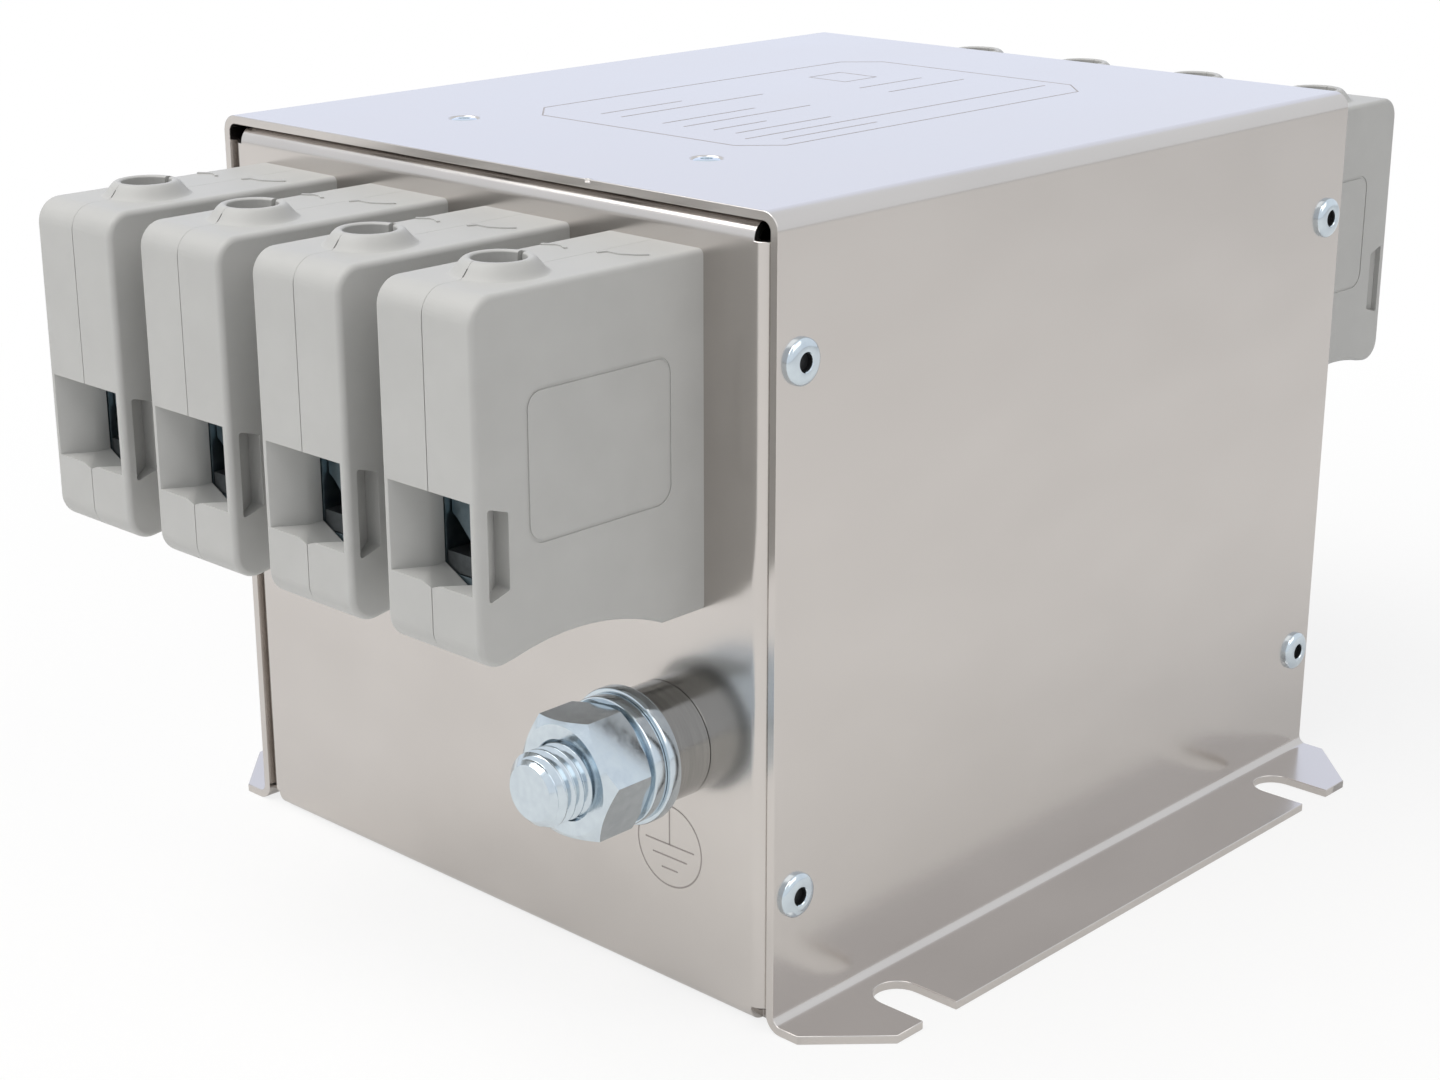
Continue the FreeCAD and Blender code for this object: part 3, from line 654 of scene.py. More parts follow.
def block_cutters():
    """Every tool that cuts a whole block, at x = 0 on the front wall."""
    cutters = []
    throat_out = block_reach - FUNNEL_DEPTH
    side = [(ENTRY_HALF, block_reach + 1), (ENTRY_HALF, block_reach), (THROAT_HALF, throat_out)]
    side.append((THROAT_HALF, cage_front - CUT_OVERLAP))
    outline = side + [(-x, out) for x, out in reversed(side)]
    funnel = prism(outline, lambda p: on_block(p[1], entry_low, p[0]), (0, 0, ENTRY_HEIGHT))
    cutters.append(as_object(funnel, "entry"))
    cutters.append(trench())
    cage = box_solid(
        (-CAGE_ROOM[0], -wall_out - SCREW_OUT - CAGE_ROOM[1], cage_low),
        (CAGE_ROOM[0], -wall_out - SCREW_OUT + CAGE_ROOM[1], cage_high),
    )
    cutters.append(as_object(cage, "cage_room"))
    bar = box_solid(
        (-BAR_ROOM_HALF, -wall_out - SCREW_OUT, bar_low),
        (BAR_ROOM_HALF, -wall_out + NECK_LENGTH + 1, bar_high),
    )
    cutters.append(as_object(bar, "bar_room"))
    bore = HOLE_RADIUS - HOLE_LIP
    hole = [(0, cage_high - 1), (bore, cage_high - 1), (bore, boss_top - 0.35)]
    hole += [(HOLE_RADIUS, boss_top - 0.12), (HOLE_RADIUS + 0.3, boss_top + 0.01)]
    hole += [(HOLE_RADIUS + 0.3, boss_top + 1), (0, boss_top + 1)]
    cutters.append(as_object(turned(hole), "screw_hole", Matrix.Translation(on_block(SCREW_OUT, 0))))
    axis_y = -wall_out - SCREW_OUT
    step_back = axis_y + HOLE_RADIUS
    notch = box_solid(
        (-NOTCH_HALF, step_back - 1, block_top - NOTCH_LENGTH),
        (NOTCH_HALF, step_back + NOTCH_DEPTH, boss_top + 1),
    )
    cutters.append(as_object(notch, "hole_notch"))
    near, far = TICK_FROM_AXIS
    tick = box_solid(
        (-TICK_HALF, axis_y - far, block_top + 0.25), (TICK_HALF, axis_y - near, boss_top + 1)
    )
    cutters.append(as_object(tick, "boss_tick"))
    return cutters


# %% [markdown]
# A wedge-shaped pocket keeps the wall beside the funnel thin, and a fine groove outlines a bare
# field on each side. The parting line shows on the front as a groove that fades out on the nose.

# %% Side pocket, outlined field and parting line
POCKET_OUT = (block_reach - 5.8, block_reach - 1.9)
POCKET_LOW = entry_low - 1.2
POCKET_HIGH = entry_high - 1.0
POCKET_TAPER = 1.2
POCKET_DEPTHS = (3.1, 1.1)
FIELD_OUT = (6.9, block_reach - 9.4)
FIELD_HIGH = block_top - 14.3
FIELD_LOW = FIELD_HIGH - 22.7
FIELD_LINE = 0.5
FIELD_DEPTH = 0.16
FIELD_PROUD = 0.02
FIELD_RADIUS = 3.0
PARTING_HALF = 0.15
PARTING_DEPTH = 0.6


def side_pocket():
    """A pocket that is deep towards the wall and shallow towards the mouth."""
    near, far = POCKET_OUT
    outline = [(far, POCKET_LOW), (far, POCKET_HIGH), (near, POCKET_HIGH - POCKET_TAPER)]
    outline.append((near, POCKET_LOW + POCKET_TAPER))

    def floor_place(point):
        share = (point[0] - near) / (far - near)
        depth = POCKET_DEPTHS[0] + (POCKET_DEPTHS[1] - POCKET_DEPTHS[0]) * share
        return on_block(point[0], point[1], block_half - depth)

    return as_object(prism(rounded(outline, 0.4, 3), floor_place, (5, 0, 0)), "side_pocket")


def field(inset, low, high, name):
    """A block's side field, drawn in by an inset, between two distances from the middle plane."""
    near, far = FIELD_OUT[0] + inset, FIELD_OUT[1] - inset
    bottom, top = FIELD_LOW + inset, FIELD_HIGH - inset
    outline = rounded([(near, bottom), (near, top), (far, top), (far, bottom)], FIELD_RADIUS - inset, 8)
    return as_object(prism(outline, lambda p: on_block(p[0], p[1], low), (high - low, 0, 0)), name)


def parting_groove(low, high):
    """A fine V groove on the front face, from one height to another."""
    bm = bmesh.new()
    front = -wall_out - block_reach
    for z, deep in ((low, 0.0), (low + 2, 1.0), (high - 2, 1.0), (high, 0.0)):
        for x, y in ((-PARTING_HALF, -0.3), (PARTING_HALF, -0.3), (0, PARTING_DEPTH)):
            bm.verts.new((x * max(deep, 0.2), front + (y if y < 0 else y * deep - 0.01), z))
    bmesh.ops.convex_hull(bm, input=bm.verts)
    bmesh.ops.recalc_face_normals(bm, faces=bm.faces)
    return as_object(bm, "parting_groove")


# %% Build the two halves
PAST_MIDDLE = 2.0


def block_half_solid(side):
    """One moulded half at x = 0 on the front wall: side 1 is the right half, -1 the left."""
    outline = block_outline()
    bm = prism(
        outline, lambda p: on_block(p[0], p[1], -PAST_MIDDLE), (block_half + PAST_MIDDLE, 0, 0)
    )
    outer = []
    for edge in bm.edges:
        a, b = edge.verts
        on_side = min(a.co.x, b.co.x) > block_half - 0.01
        at_wall = min(a.co.y, b.co.y) > -wall_out - 0.01
        if on_side and not at_wall:
            outer.append(edge)
    bmesh.ops.bevel(
        bm, geom=outer, offset=EDGE_RADIUS, segments=6, profile=0.5, affect="EDGES", clamp_overlap=False
    )
    body = as_object(bm, "shell_half")
    neck = box_solid(
        (-PAST_MIDDLE, -wall_out - 1, block_foot + NECK_RISE),
        (NECK_HALF, -wall_out + NECK_LENGTH, block_top - NECK_DROP),
    )
    tools = [(boss(), "UNION"), (as_object(neck, "neck"), "UNION")]
    tools += [(cutter, "DIFFERENCE") for cutter in block_cutters()]
    tools.append((side_pocket(), "DIFFERENCE"))
    tools.append((field(0.0, block_half - FIELD_DEPTH, block_half + 1, "field_groove"), "DIFFERENCE"))
    tools.append((field(FIELD_LINE, block_half - 1, block_half + FIELD_PROUD, "field"), "UNION"))
    tools.append((parting_groove(entry_high - 2.1, block_top - 1.5), "DIFFERENCE"))
    tools.append((parting_groove(block_foot, entry_low + 2.1), "DIFFERENCE"))
    room = box_solid((SEAM_HALF, -200, 0), (30, 0, 200))
    tools.append((as_object(room, "half_room"), "INTERSECT"))
    body = machined(body, tools)
    if side < 0:
        body.data.transform(Matrix.Scale(-1, 4, (1, 0, 0)))
        body.data.flip_normals()
    return body


left_half = block_half_solid(-1)
right_half = block_half_solid(1)
print("a half block has", len(right_half.data.polygons), "faces")

# %% [markdown]
# ### A row at each end
# The same half repeats along a row at the front, and turned round it repeats at the rear, where a
# left half takes the right half's place. A Geometry Nodes tree follows that rule: its inputs are
# the count, the pitch and the first place, and it ends in plain geometry with its material.

# %% Row tree
def row_tree():
    """Copies a piece along a row at the front, and its turned counterpart at the rear."""
    sockets = [("Counterpart", "Object"), ("Count", "Int"), ("Pitch", "Float")]
    sockets += [("First place", "Float"), ("Material", "Material")]
    tree, source = geometry_tree("terminal_row", sockets)
    step = add(tree, "ShaderNodeCombineXYZ", links={"X": source.outputs["Pitch"]})
    start = add(tree, "ShaderNodeCombineXYZ", links={"X": source.outputs["First place"]})
    places = add(
        tree,
        "GeometryNodeMeshLine",
        links={
            "Count": source.outputs["Count"],
            "Start Location": start.outputs[0],
            "Offset": step.outputs[0],
        },
    )
    other = add(tree, "GeometryNodeObjectInfo", links={"Object": source.outputs["Counterpart"]})
    turned_round = add(
        tree,
        "GeometryNodeTransform",
        {"Rotation": (0, 0, math.pi)},
        {"Geometry": other.outputs["Geometry"]},
    )
    pair = add(tree, "GeometryNodeJoinGeometry")
    tree.links.new(turned_round.outputs[0], pair.inputs[0])
    tree.links.new(source.outputs["Geometry"], pair.inputs[0])
    placed = add(
        tree,
        "GeometryNodeInstanceOnPoints",
        links={"Points": places.outputs[0], "Instance": pair.outputs[0]},
    )
    close_tree(tree, source, placed.outputs[0])
    return tree


row = row_tree()
print(row.name, "tree has", len(row.nodes), "nodes")


def terminal_row(name, piece, counterpart, material, nodes):
    """A finished row at both ends from one piece and its counterpart."""
    thing = bpy.data.objects.new(name, piece.data.copy())
    scene.collection.objects.link(thing)
    values = {
        "Counterpart": counterpart,
        "Count": TERMINALS,
        "Pitch": terminal_pitch,
        "First place": terminal_x[0],
        "Material": material,
    }
    return finished(grown(thing, row, values), material, nodes)


numbers = range(1, TERMINALS + 1)
terminal_row(
    "terminal_left_shells", left_half, right_half, housing,
    [f"terminal_{number}_left_shells" for number in numbers],
)
terminal_row(
    "terminal_right_shells", right_half, left_half, housing,
    [f"terminal_{number}_right_shells" for number in numbers],
)
for spare in (left_half, right_half):
    bpy.data.objects.remove(spare)

# %% [markdown]
# ### Clamps
# Behind each entry sits a box clamp: a steel cage round the bar, a screw with a hexagon socket, and
# a jaw with a V-shaped lower edge that the screw drives down on the wire. Its edges are broken,
# because they give the only bright lines in the dark slot. The row tree sets all eight.

# %% Box clamp
CAGE_CORNER = 1.2
CAGE_WINDOW_HALF = 5.8
CAGE_FLOOR = 2.4
CAGE_ROOF = 6.6
CLAMP_BREAK = 0.25
CLAMP_SCREW_RADIUS = 3.6
SCREW_HEAD_DROP = 8.8
SOCKET_ACROSS_FLATS = 5.0
SOCKET_DEPTH = 4.5
JAW_TIP_RISE = 5.7
JAW_SHOULDER_RISE = 11.0
JAW_LENGTH = 11.0
JAW_CHAMFER = (1.1, 0.7)


def along_out(outline, start, length, name):
    """A solid with an (x, z) outline that starts this far out and runs further outwards."""
    return as_object(prism(outline, lambda p: on_block(start, p[1], p[0]), (0, -length, 0)), name)


def clamp():
    """The cage, screw and jaw of one clamp at x = 0 on the front wall."""
    half = CAGE_ROOM[0] - CAGE_GAP
    deep = CAGE_ROOM[1] - CAGE_GAP
    low, high = cage_low + CAGE_GAP, cage_high - CAGE_GAP
    window_low, window_high = low + CAGE_FLOOR, high - CAGE_ROOF
    outer = rounded([(-half, low), (half, low), (half, high), (-half, high)], CAGE_CORNER, 5)
    room = [(-CAGE_WINDOW_HALF, window_low), (CAGE_WINDOW_HALF, window_low)]
    room += [(CAGE_WINDOW_HALF, window_high), (-CAGE_WINDOW_HALF, window_high)]
    body = along_out(outer, SCREW_OUT - deep, 2 * deep, "terminal_clamps")
    window = along_out(rounded(room, 0.6, 3), SCREW_OUT - deep - 1, 2 * deep + 2, "window")
    tip, shoulder = low + JAW_TIP_RISE, low + JAW_SHOULDER_RISE
    edge = CAGE_WINDOW_HALF - 0.2
    inwards, down = JAW_CHAMFER
    jaw_outline = [(-edge, window_high + 1), (-edge, shoulder), (-edge + inwards, shoulder - down)]
    jaw_outline += [(0, tip), (edge - inwards, shoulder - down), (edge, shoulder)]
    jaw_outline.append((edge, window_high + 1))
    jaw = along_out(jaw_outline, SCREW_OUT - JAW_LENGTH / 2, JAW_LENGTH, "jaw")
    head = block_top - SCREW_HEAD_DROP
    screw_profile = [(0, window_high + 0.5), (CLAMP_SCREW_RADIUS, window_high + 0.5)]
    screw_profile += [(CLAMP_SCREW_RADIUS, head - 0.4), (CLAMP_SCREW_RADIUS - 0.4, head), (0, head)]
    screw = as_object(turned(screw_profile), "screw", Matrix.Translation(on_block(SCREW_OUT, 0)))
    socket_floor = head - SOCKET_DEPTH
    socket = prism(
        hexagon(SOCKET_ACROSS_FLATS),
        lambda p: on_block(SCREW_OUT + p[1], socket_floor, p[0]),
        (0, 0, SOCKET_DEPTH + 1),
    )
    tools = [(window, "DIFFERENCE"), (jaw, "UNION"), (screw, "UNION")]
    tools.append((as_object(socket, "socket"), "DIFFERENCE"))
    return broken_edges(machined(body, tools), CLAMP_BREAK, 40)


one_clamp = clamp()
terminal_row(
    "terminal_clamps_dressed", one_clamp, one_clamp, clamp_steel,
    [f"terminal_{number}_clamps" for number in numbers],
)
bpy.data.objects.remove(one_clamp)

# %% [markdown]
# ### Raised and printed lines
# The mould leaves two raised strokes on top of each block, and a laser draws the earth symbol and a
# form on the case. Words and marks of a maker stay off, so the form is a bare frame with empty rules.
# All are lines of one width: a tree sweeps a flat profile along any path.

# %% Stroke tree
def stroke_tree():
    """Sweeps a profile of a given width and height along every edge path."""
    sockets = [("Width", "Float"), ("Height", "Float"), ("Material", "Material")]
    tree, source = geometry_tree("stroke", sockets)
    path = add(tree, "GeometryNodeMeshToCurve", links={"Mesh": source.outputs["Geometry"]})
    level = add(tree, "GeometryNodeSetCurveNormal", {"mode": "Z_UP"}, {"Curve": path.outputs[0]})
    profile = add(
        tree,
        "GeometryNodeCurvePrimitiveQuadrilateral",
        links={"Width": source.outputs["Width"], "Height": source.outputs["Height"]},
    )
    swept = add(
        tree,
        "GeometryNodeCurveToMesh",
        {"Fill Caps": True},
        {"Curve": level.outputs[0], "Profile Curve": profile.outputs[0]},
    )
    close_tree(tree, source, swept.outputs[0])
    return tree


strokes = stroke_tree()
print(strokes.name, "tree has", len(strokes.nodes), "nodes")


def drawn(name, paths, width, height, material, matrix=None):
    """Lines along flat paths; a path whose last point repeats its first one is closed."""
    bm = bmesh.new()
    for path in paths:
        closed = (Vector(path[0]) - Vector(path[-1])).length < 0.001
        verts = [bm.verts.new((point[0], point[1], 0)) for point in (path[:-1] if closed else path)]
        for before, after in zip(verts, verts[1:]):
            bm.edges.new((before, after))
        if closed:
            bm.edges.new((verts[-1], verts[0]))
    thing = grown(as_object(bm, name), strokes, {"Width": width, "Height": height, "Material": material})
    if matrix is not None:
        thing.data.transform(matrix)
    return thing


# %% Raised strokes on the blocks
STROKE_WIDTH = 0.55
STROKE_HEIGHT = 0.5
STROKE_PROUD = 0.22
short_stroke = rounded([(-9.2, 14.2), (-7.4, 12.8), (-6.2, 12.8), (-4.5, 13.7)], [0, 0.8, 0.8, 0], 4)
long_path = [(0.9, 12.6), (1.6, 11.1), (4.2, 11.1), (6.4, 9.9), (7.6, 8.6)]
long_stroke = rounded(long_path, [0, 0.6, 1.5, 1.5, 0], 4)
stroke_level = block_top + STROKE_PROUD - STROKE_HEIGHT / 2
on_top = Matrix.Translation((0, -wall_out, stroke_level)) @ Matrix.Scale(-1, 4, (0, 1, 0))
one_block = drawn("strokes", [short_stroke, long_stroke], STROKE_WIDTH, STROKE_HEIGHT, housing, on_top)
bm = bmesh.new()
bm.from_mesh(one_block.data)
bmesh.ops.recalc_face_normals(bm, faces=bm.faces)
bm.to_mesh(one_block.data)
bm.free()
terminal_row("terminal_strokes", one_block, one_block, housing, [])
bpy.data.objects.remove(one_block)

# %% [markdown]
# ## Earth studs
# The stud is a bolt whose head sits inside the case. A spacer, a flat washer, a split washer and a
# nut follow outwards. The thread is a rule: the radius rises and falls once per pitch as the point
# goes round and along, so a tree bends a flat grid into it.

# %% Places on the stud
spacer_low, spacer_high = node_box("earth_spacers")
stud_high, washer_high, spring_high, nut_high = (
    node_box(name)[1] for name in ("earth_bolts", "earth_washers", "earth_spring_washers", "earth_nuts")
)
stud_x = (spacer_low.x + spacer_high.x) / 2
stud_z = (spacer_low.z + spacer_high.z) / 2
stud_reach = stud_high.y - wall_out
spacer_out = spacer_high.y - wall_out
washer_out = washer_high.y - wall_out
spring_out = spring_high.y - wall_out
nut_out = nut_high.y - wall_out
STUD_RADIUS = 6.0
STUD_BORE = 6.3
THREAD_PITCH = 1.75
THREAD_DEPTH = 0.95
TIP_RADIUS = 4.4
TIP_CHAMFER = 1.6
NUT_ACROSS_FLATS = 18.7
NUT_TURN = 6.5
NUT_FACE_SHARE = 0.94
NUT_CHAMFER = 36.0
BORE_RADIUS = 5.5
BORE_START = 0.9
COUNTERSINK = 1.6
HEAD_ACROSS_FLATS = 18.0
HEAD_INSIDE = 9.0
HEAD_HEIGHT = 7.5
SHANK_RADIUS = 5.4
THREAD_IN_NUT = 4.0
THREAD_GRID = (73, 181)
CREST_SLOPE = 1.35
CREST_SHIFT = -0.15
SPLIT_TURN = -140.0
print("stud at", round(stud_x, 2), round(stud_z, 2), "reach", round(stud_reach, 2))


def outward(turn=0.0):
    """Turns a piece that was drawn along +Z to stand out from the front wall on the stud's axis."""
    return (
        Matrix.Translation((stud_x, -wall_out, stud_z))
        @ Matrix.Rotation(math.radians(turn), 4, "Y")
        @ Matrix.Rotation(math.radians(90), 4, "X")
    )


def both_ends(thing):
    """Adds the mirrored piece at the load end to a piece at the line end."""
    bm = bmesh.new()
    bm.from_mesh(thing.data)
    bmesh.ops.remove_doubles(bm, verts=bm.verts, dist=0.0001)
    bmesh.ops.recalc_face_normals(bm, faces=bm.faces)
    faces = bmesh.ops.duplicate(bm, geom=bm.verts[:] + bm.edges[:] + bm.faces[:])["geom"]
    copies = [item for item in faces if isinstance(item, bmesh.types.BMVert)]
    bmesh.ops.scale(bm, vec=(1, -1, 1), verts=copies)
    bmesh.ops.reverse_faces(bm, faces=[item for item in faces if isinstance(item, bmesh.types.BMFace)])
    bm.to_mesh(thing.data)
    bm.free()
    return thing


# %% Thread tree
def thread_tree():
    """Bends a grid round an axis and gives it a thread and a chamfered tip, and merges its seam."""
    sockets = [("Outer radius", "Float"), ("Depth", "Float"), ("Pitch", "Float"), ("Length", "Float")]
    sockets += [("Tip radius", "Float"), ("Tip slope", "Float"), ("Material", "Material")]
    tree, source = geometry_tree("stud_thread", sockets)
    value = source.outputs

    def maths(operation, *terms):
        """One sum: each term is a number or another node's output."""
        numbers_in = {slot: t for slot, t in enumerate(terms) if isinstance(t, (int, float))}
        sockets_in = {slot: t for slot, t in enumerate(terms) if not isinstance(t, (int, float))}
        return add(tree, "ShaderNodeMath", {"operation": operation, **numbers_in}, sockets_in).outputs[0]

    round_it, along_it = THREAD_GRID
    grid = add(
        tree,
        "GeometryNodeMeshGrid",
        {"Size X": 1.0, "Size Y": 1.0, "Vertices X": round_it, "Vertices Y": along_it},
    )
    where = add(tree, "ShaderNodeSeparateXYZ", links={0: add(tree, "GeometryNodeInputPosition").outputs[0]})
    around = maths("ADD", where.outputs["X"], 0.5)
    along = maths("MULTIPLY", maths("ADD", where.outputs["Y"], 0.5), value["Length"])
    phase = maths("FRACT", maths("SUBTRACT", maths("DIVIDE", along, value["Pitch"]), around))
    flank = maths("ABSOLUTE", maths("SUBTRACT", maths("MULTIPLY", phase, 2.0), 1.0))
    slope = maths("MULTIPLY_ADD", flank, CREST_SLOPE, CREST_SHIFT)
    crest = maths("MINIMUM", maths("MAXIMUM", slope, 0.0), 1.0)
    groove = maths("MULTIPLY", maths("SUBTRACT", 1.0, crest), value["Depth"])
    threaded = maths("SUBTRACT", value["Outer radius"], groove)
    to_tip = maths("SUBTRACT", value["Length"], along)
    chamfered = maths("MULTIPLY_ADD", to_tip, value["Tip slope"], value["Tip radius"])
    radius = maths("MINIMUM", threaded, chamfered)
    angle = maths("MULTIPLY", around, 2 * math.pi)
    bent = add(
        tree,
        "ShaderNodeCombineXYZ",
        links={
            "X": maths("MULTIPLY", radius, maths("COSINE", angle)),
            "Y": maths("MULTIPLY", radius, maths("SINE", angle)),
            "Z": along,
        },
    )
    shaped = add(
        tree,
        "GeometryNodeSetPosition",
        links={"Geometry": grid.outputs["Mesh"], "Position": bent.outputs[0]},
    )
    closed = add(tree, "GeometryNodeMergeByDistance", {"Distance": 0.001}, {"Geometry": shaped.outputs[0]})
    close_tree(tree, source, closed.outputs[0])
    return tree


# %% Stud, head and thread
def earth_stud():
    """The threaded stud and its hexagon head inside the case, as one piece for both ends."""
    start = nut_out - THREAD_IN_NUT
    length = stud_reach - start
    blank = as_object(bmesh.new(), "earth_studs")
    values = {
        "Outer radius": STUD_RADIUS,
        "Depth": THREAD_DEPTH,
        "Pitch": THREAD_PITCH,
        "Length": length,
        "Tip radius": TIP_RADIUS,
        "Tip slope": (STUD_RADIUS - TIP_RADIUS) / TIP_CHAMFER,
        "Material": zinc,
    }
    thread = grown(blank, thread_tree(), values)
    bm = bmesh.new()
    bm.from_mesh(thread.data)
    rims = [edge for edge in bm.edges if edge.is_boundary]
    bmesh.ops.holes_fill(bm, edges=rims)
    bmesh.ops.recalc_face_normals(bm, faces=bm.faces)
    bm.to_mesh(thread.data)
    bm.free()
    thread.data.transform(outward() @ Matrix.Translation((0, 0, start)))
    head = prism(
        hexagon(HEAD_ACROSS_FLATS), lambda p: Vector((p[0], p[1], -HEAD_INSIDE)), (0, 0, HEAD_HEIGHT)
    )
    head_solid = as_object(head, "stud_head", outward())
    profile = [(0, -2), (SHANK_RADIUS, -2), (SHANK_RADIUS, start + 0.5), (0, start + 0.5)]
    shank = as_object(turned(profile), "shank", outward())
    return machined(thread, [(shank, "UNION"), (head_solid, "UNION")])


studs = earth_stud()
finished(both_ends(studs), zinc, ["earth_bolts"], 50)

# %% [markdown]
# The nut is a hexagon whose corners a turning tool has taken off at both faces, which leaves the
# curved edges that a plain prism lacks. The rings are turned, with small broken edges.

# %% Nut, washers and spacer
def chamfered_nut():
    """A hexagon nut, chamfered at both faces, with a countersunk bore."""
    height = nut_out - spring_out
    across = NUT_ACROSS_FLATS / math.sqrt(3)
    blank = prism(hexagon(NUT_ACROSS_FLATS), lambda p: Vector((p[0], p[1], -1)), (0, 0, height + 2))
    body = as_object(blank, "nuts_dressed")
    face_radius = NUT_ACROSS_FLATS / 2 * NUT_FACE_SHARE
    drop = (across - face_radius) * math.tan(math.radians(NUT_CHAMFER))
    rounding = [(0, 0), (face_radius, 0), (across + 0.1, drop), (across + 0.1, height - drop)]
    rounding += [(face_radius, height), (0, height)]
    mouth = STUD_RADIUS + COUNTERSINK
    bore = [(0, -1), (mouth, -1), (BORE_RADIUS, BORE_START), (BORE_RADIUS, height - BORE_START)]
    bore += [(mouth, height + 1), (0, height + 1)]
    tools = [(as_object(turned(rounding, 144), "rounding"), "INTERSECT")]
    tools.append((as_object(turned(bore), "bore"), "DIFFERENCE"))
    body = machined(body, tools)
    body.data.transform(outward(-NUT_TURN) @ Matrix.Translation((0, 0, spring_out)))
    return body


def ring(name, inner, outer, start, end, edge):
    """A turned ring on the stud with broken edges."""
    profile = [(inner, start), (outer - edge, start)]
    profile += [(outer - edge * 0.3, start + edge * 0.3), (outer, start + edge), (outer, end - edge)]
    profile += [(outer - edge * 0.3, end - edge * 0.3), (outer - edge, end), (inner, end)]
    return as_object(turned(profile, 128), name, outward())


def split_ring():
    """The spring washer with its slanted split."""
    body = ring("spring_washers_dressed", STUD_BORE, spring_high.x - stud_x, washer_out, spring_out, 0.35)
    lean = (spring_out - washer_out) * 0.6
    slit = [(-lean, washer_out - 1), (1 - lean, washer_out - 1)]
    slit += [(1 + lean, spring_out + 1), (lean, spring_out + 1)]
    cutter = prism(slit, lambda p: Vector((p[0], 0, p[1])), (0, 15, 0))
    return machined(body, [(as_object(cutter, "slit", outward(SPLIT_TURN)), "DIFFERENCE")])


finished(both_ends(chamfered_nut()), zinc, ["earth_nuts"], 25)
finished(both_ends(split_ring()), zinc, ["earth_spring_washers"])
flat_washer = ring("washers_dressed", STUD_BORE, washer_high.x - stud_x, spacer_out, washer_out, 0.5)
finished(both_ends(flat_washer), zinc, ["earth_washers"])
spacer = ring("spacers_dressed", STUD_BORE, spacer_high.x - stud_x, 0.0, spacer_out, 0.3)
finished(both_ends(spacer), turned_steel, ["earth_spacers"])

# %% [markdown]
# ### Marks on the case
# The earth symbol below each stud is the common one: a stem and three bars in a circle. The form on
# the top is a frame with cut corners, a panel and empty rules.

# %% Earth symbol and form
LINE_WIDTH = 0.3
LINE_HEIGHT = 0.02
SYMBOL_X = 42.7
SYMBOL_Z = 25.1
SYMBOL_RADIUS = 7.0
FORM = (-29.4, 28.0, -41.0, 51.0)
FORM_CORNER = 6.0


def circle_path(x, y, radius, steps=64):
    """A closed ring of points, whose last one repeats the first."""
    angles = [2 * math.pi * step / steps for step in range(steps + 1)]
    return [(x + radius * math.cos(a), y + radius * math.sin(a)) for a in angles]


bars = [[(SYMBOL_X, SYMBOL_Z + 6.4), (SYMBOL_X, SYMBOL_Z + 0.2)]]
for row_number, half in enumerate((5.4, 3.8, 1.8)):
    height = SYMBOL_Z + 0.2 - 2.15 * row_number
    bars.append([(SYMBOL_X - half, height), (SYMBOL_X + half, height)])
on_wall = Matrix.Translation((0, -wall_out, 0)) @ Matrix.Rotation(math.radians(90), 4, "X")
symbol_paths = [circle_path(SYMBOL_X, SYMBOL_Z, SYMBOL_RADIUS)] + bars
symbol = drawn("earth_symbols", symbol_paths, LINE_WIDTH, LINE_HEIGHT, laser_mark, on_wall)
finished(both_ends(symbol), laser_mark)

left, right, front, rear = FORM
cut = FORM_CORNER
form = [(left + cut, front), (right - cut, front), (right, front + cut), (right, rear - cut)]
form += [(right - cut, rear), (left + cut, rear), (left, rear - cut), (left, front + cut)]
form.append((left + cut, front))
rules = [
    [(right - 9, front + 6), (right - 9, rear - 4)],
    [(right - 4.5, front + 10), (right - 4.5, front + 34)],
    [(14.0, front + 9), (14.0, front + 33)],
    [(9.0, front + 9), (9.0, front + 22)],
    [(3.0, front + 8), (3.0, front + 40)],
    [(-2.0, front + 8), (-2.0, front + 31)],
    [(-12.0, front + 8), (-12.0, front + 44)],
    [(-17.0, front + 8), (-17.0, front + 28)],
    [(3.0, rear - 30), (3.0, rear - 8)],
    [(-4.0, rear - 30), (-4.0, rear - 12)],
]
panel = [(-20.0, rear - 26), (-11.0, rear - 26), (-11.0, rear - 17), (-20.0, rear - 17), (-20.0, rear - 26)]
on_cover = Matrix.Translation((0, 0, case_top - MARK_ROOM / 2))
plate = drawn("blank_form", [form, panel] + rules, LINE_WIDTH, LINE_HEIGHT, laser_mark, on_cover)
finished(plate, laser_mark)

# %% [markdown]
# ## Rivets
# Each side of the cover is held by four blind rivets, and two flush ones hold the choke's plate
# under the top. A blind rivet is a domed ring; the stump of its mandrel and its hollow are painted
# near black, a painted shade deep inside.
# A tree sets one rivet on every corner of a grid on each side.

# %% Rivet tree
RIVET_RADIUS = 3.65
RIVET_HEIGHT = 1.25
RIVET_HOLLOW = 1.45
RIVET_AHEAD = 72.9
RIVET_LOW = 22.3
RIVET_HIGH = 107.6


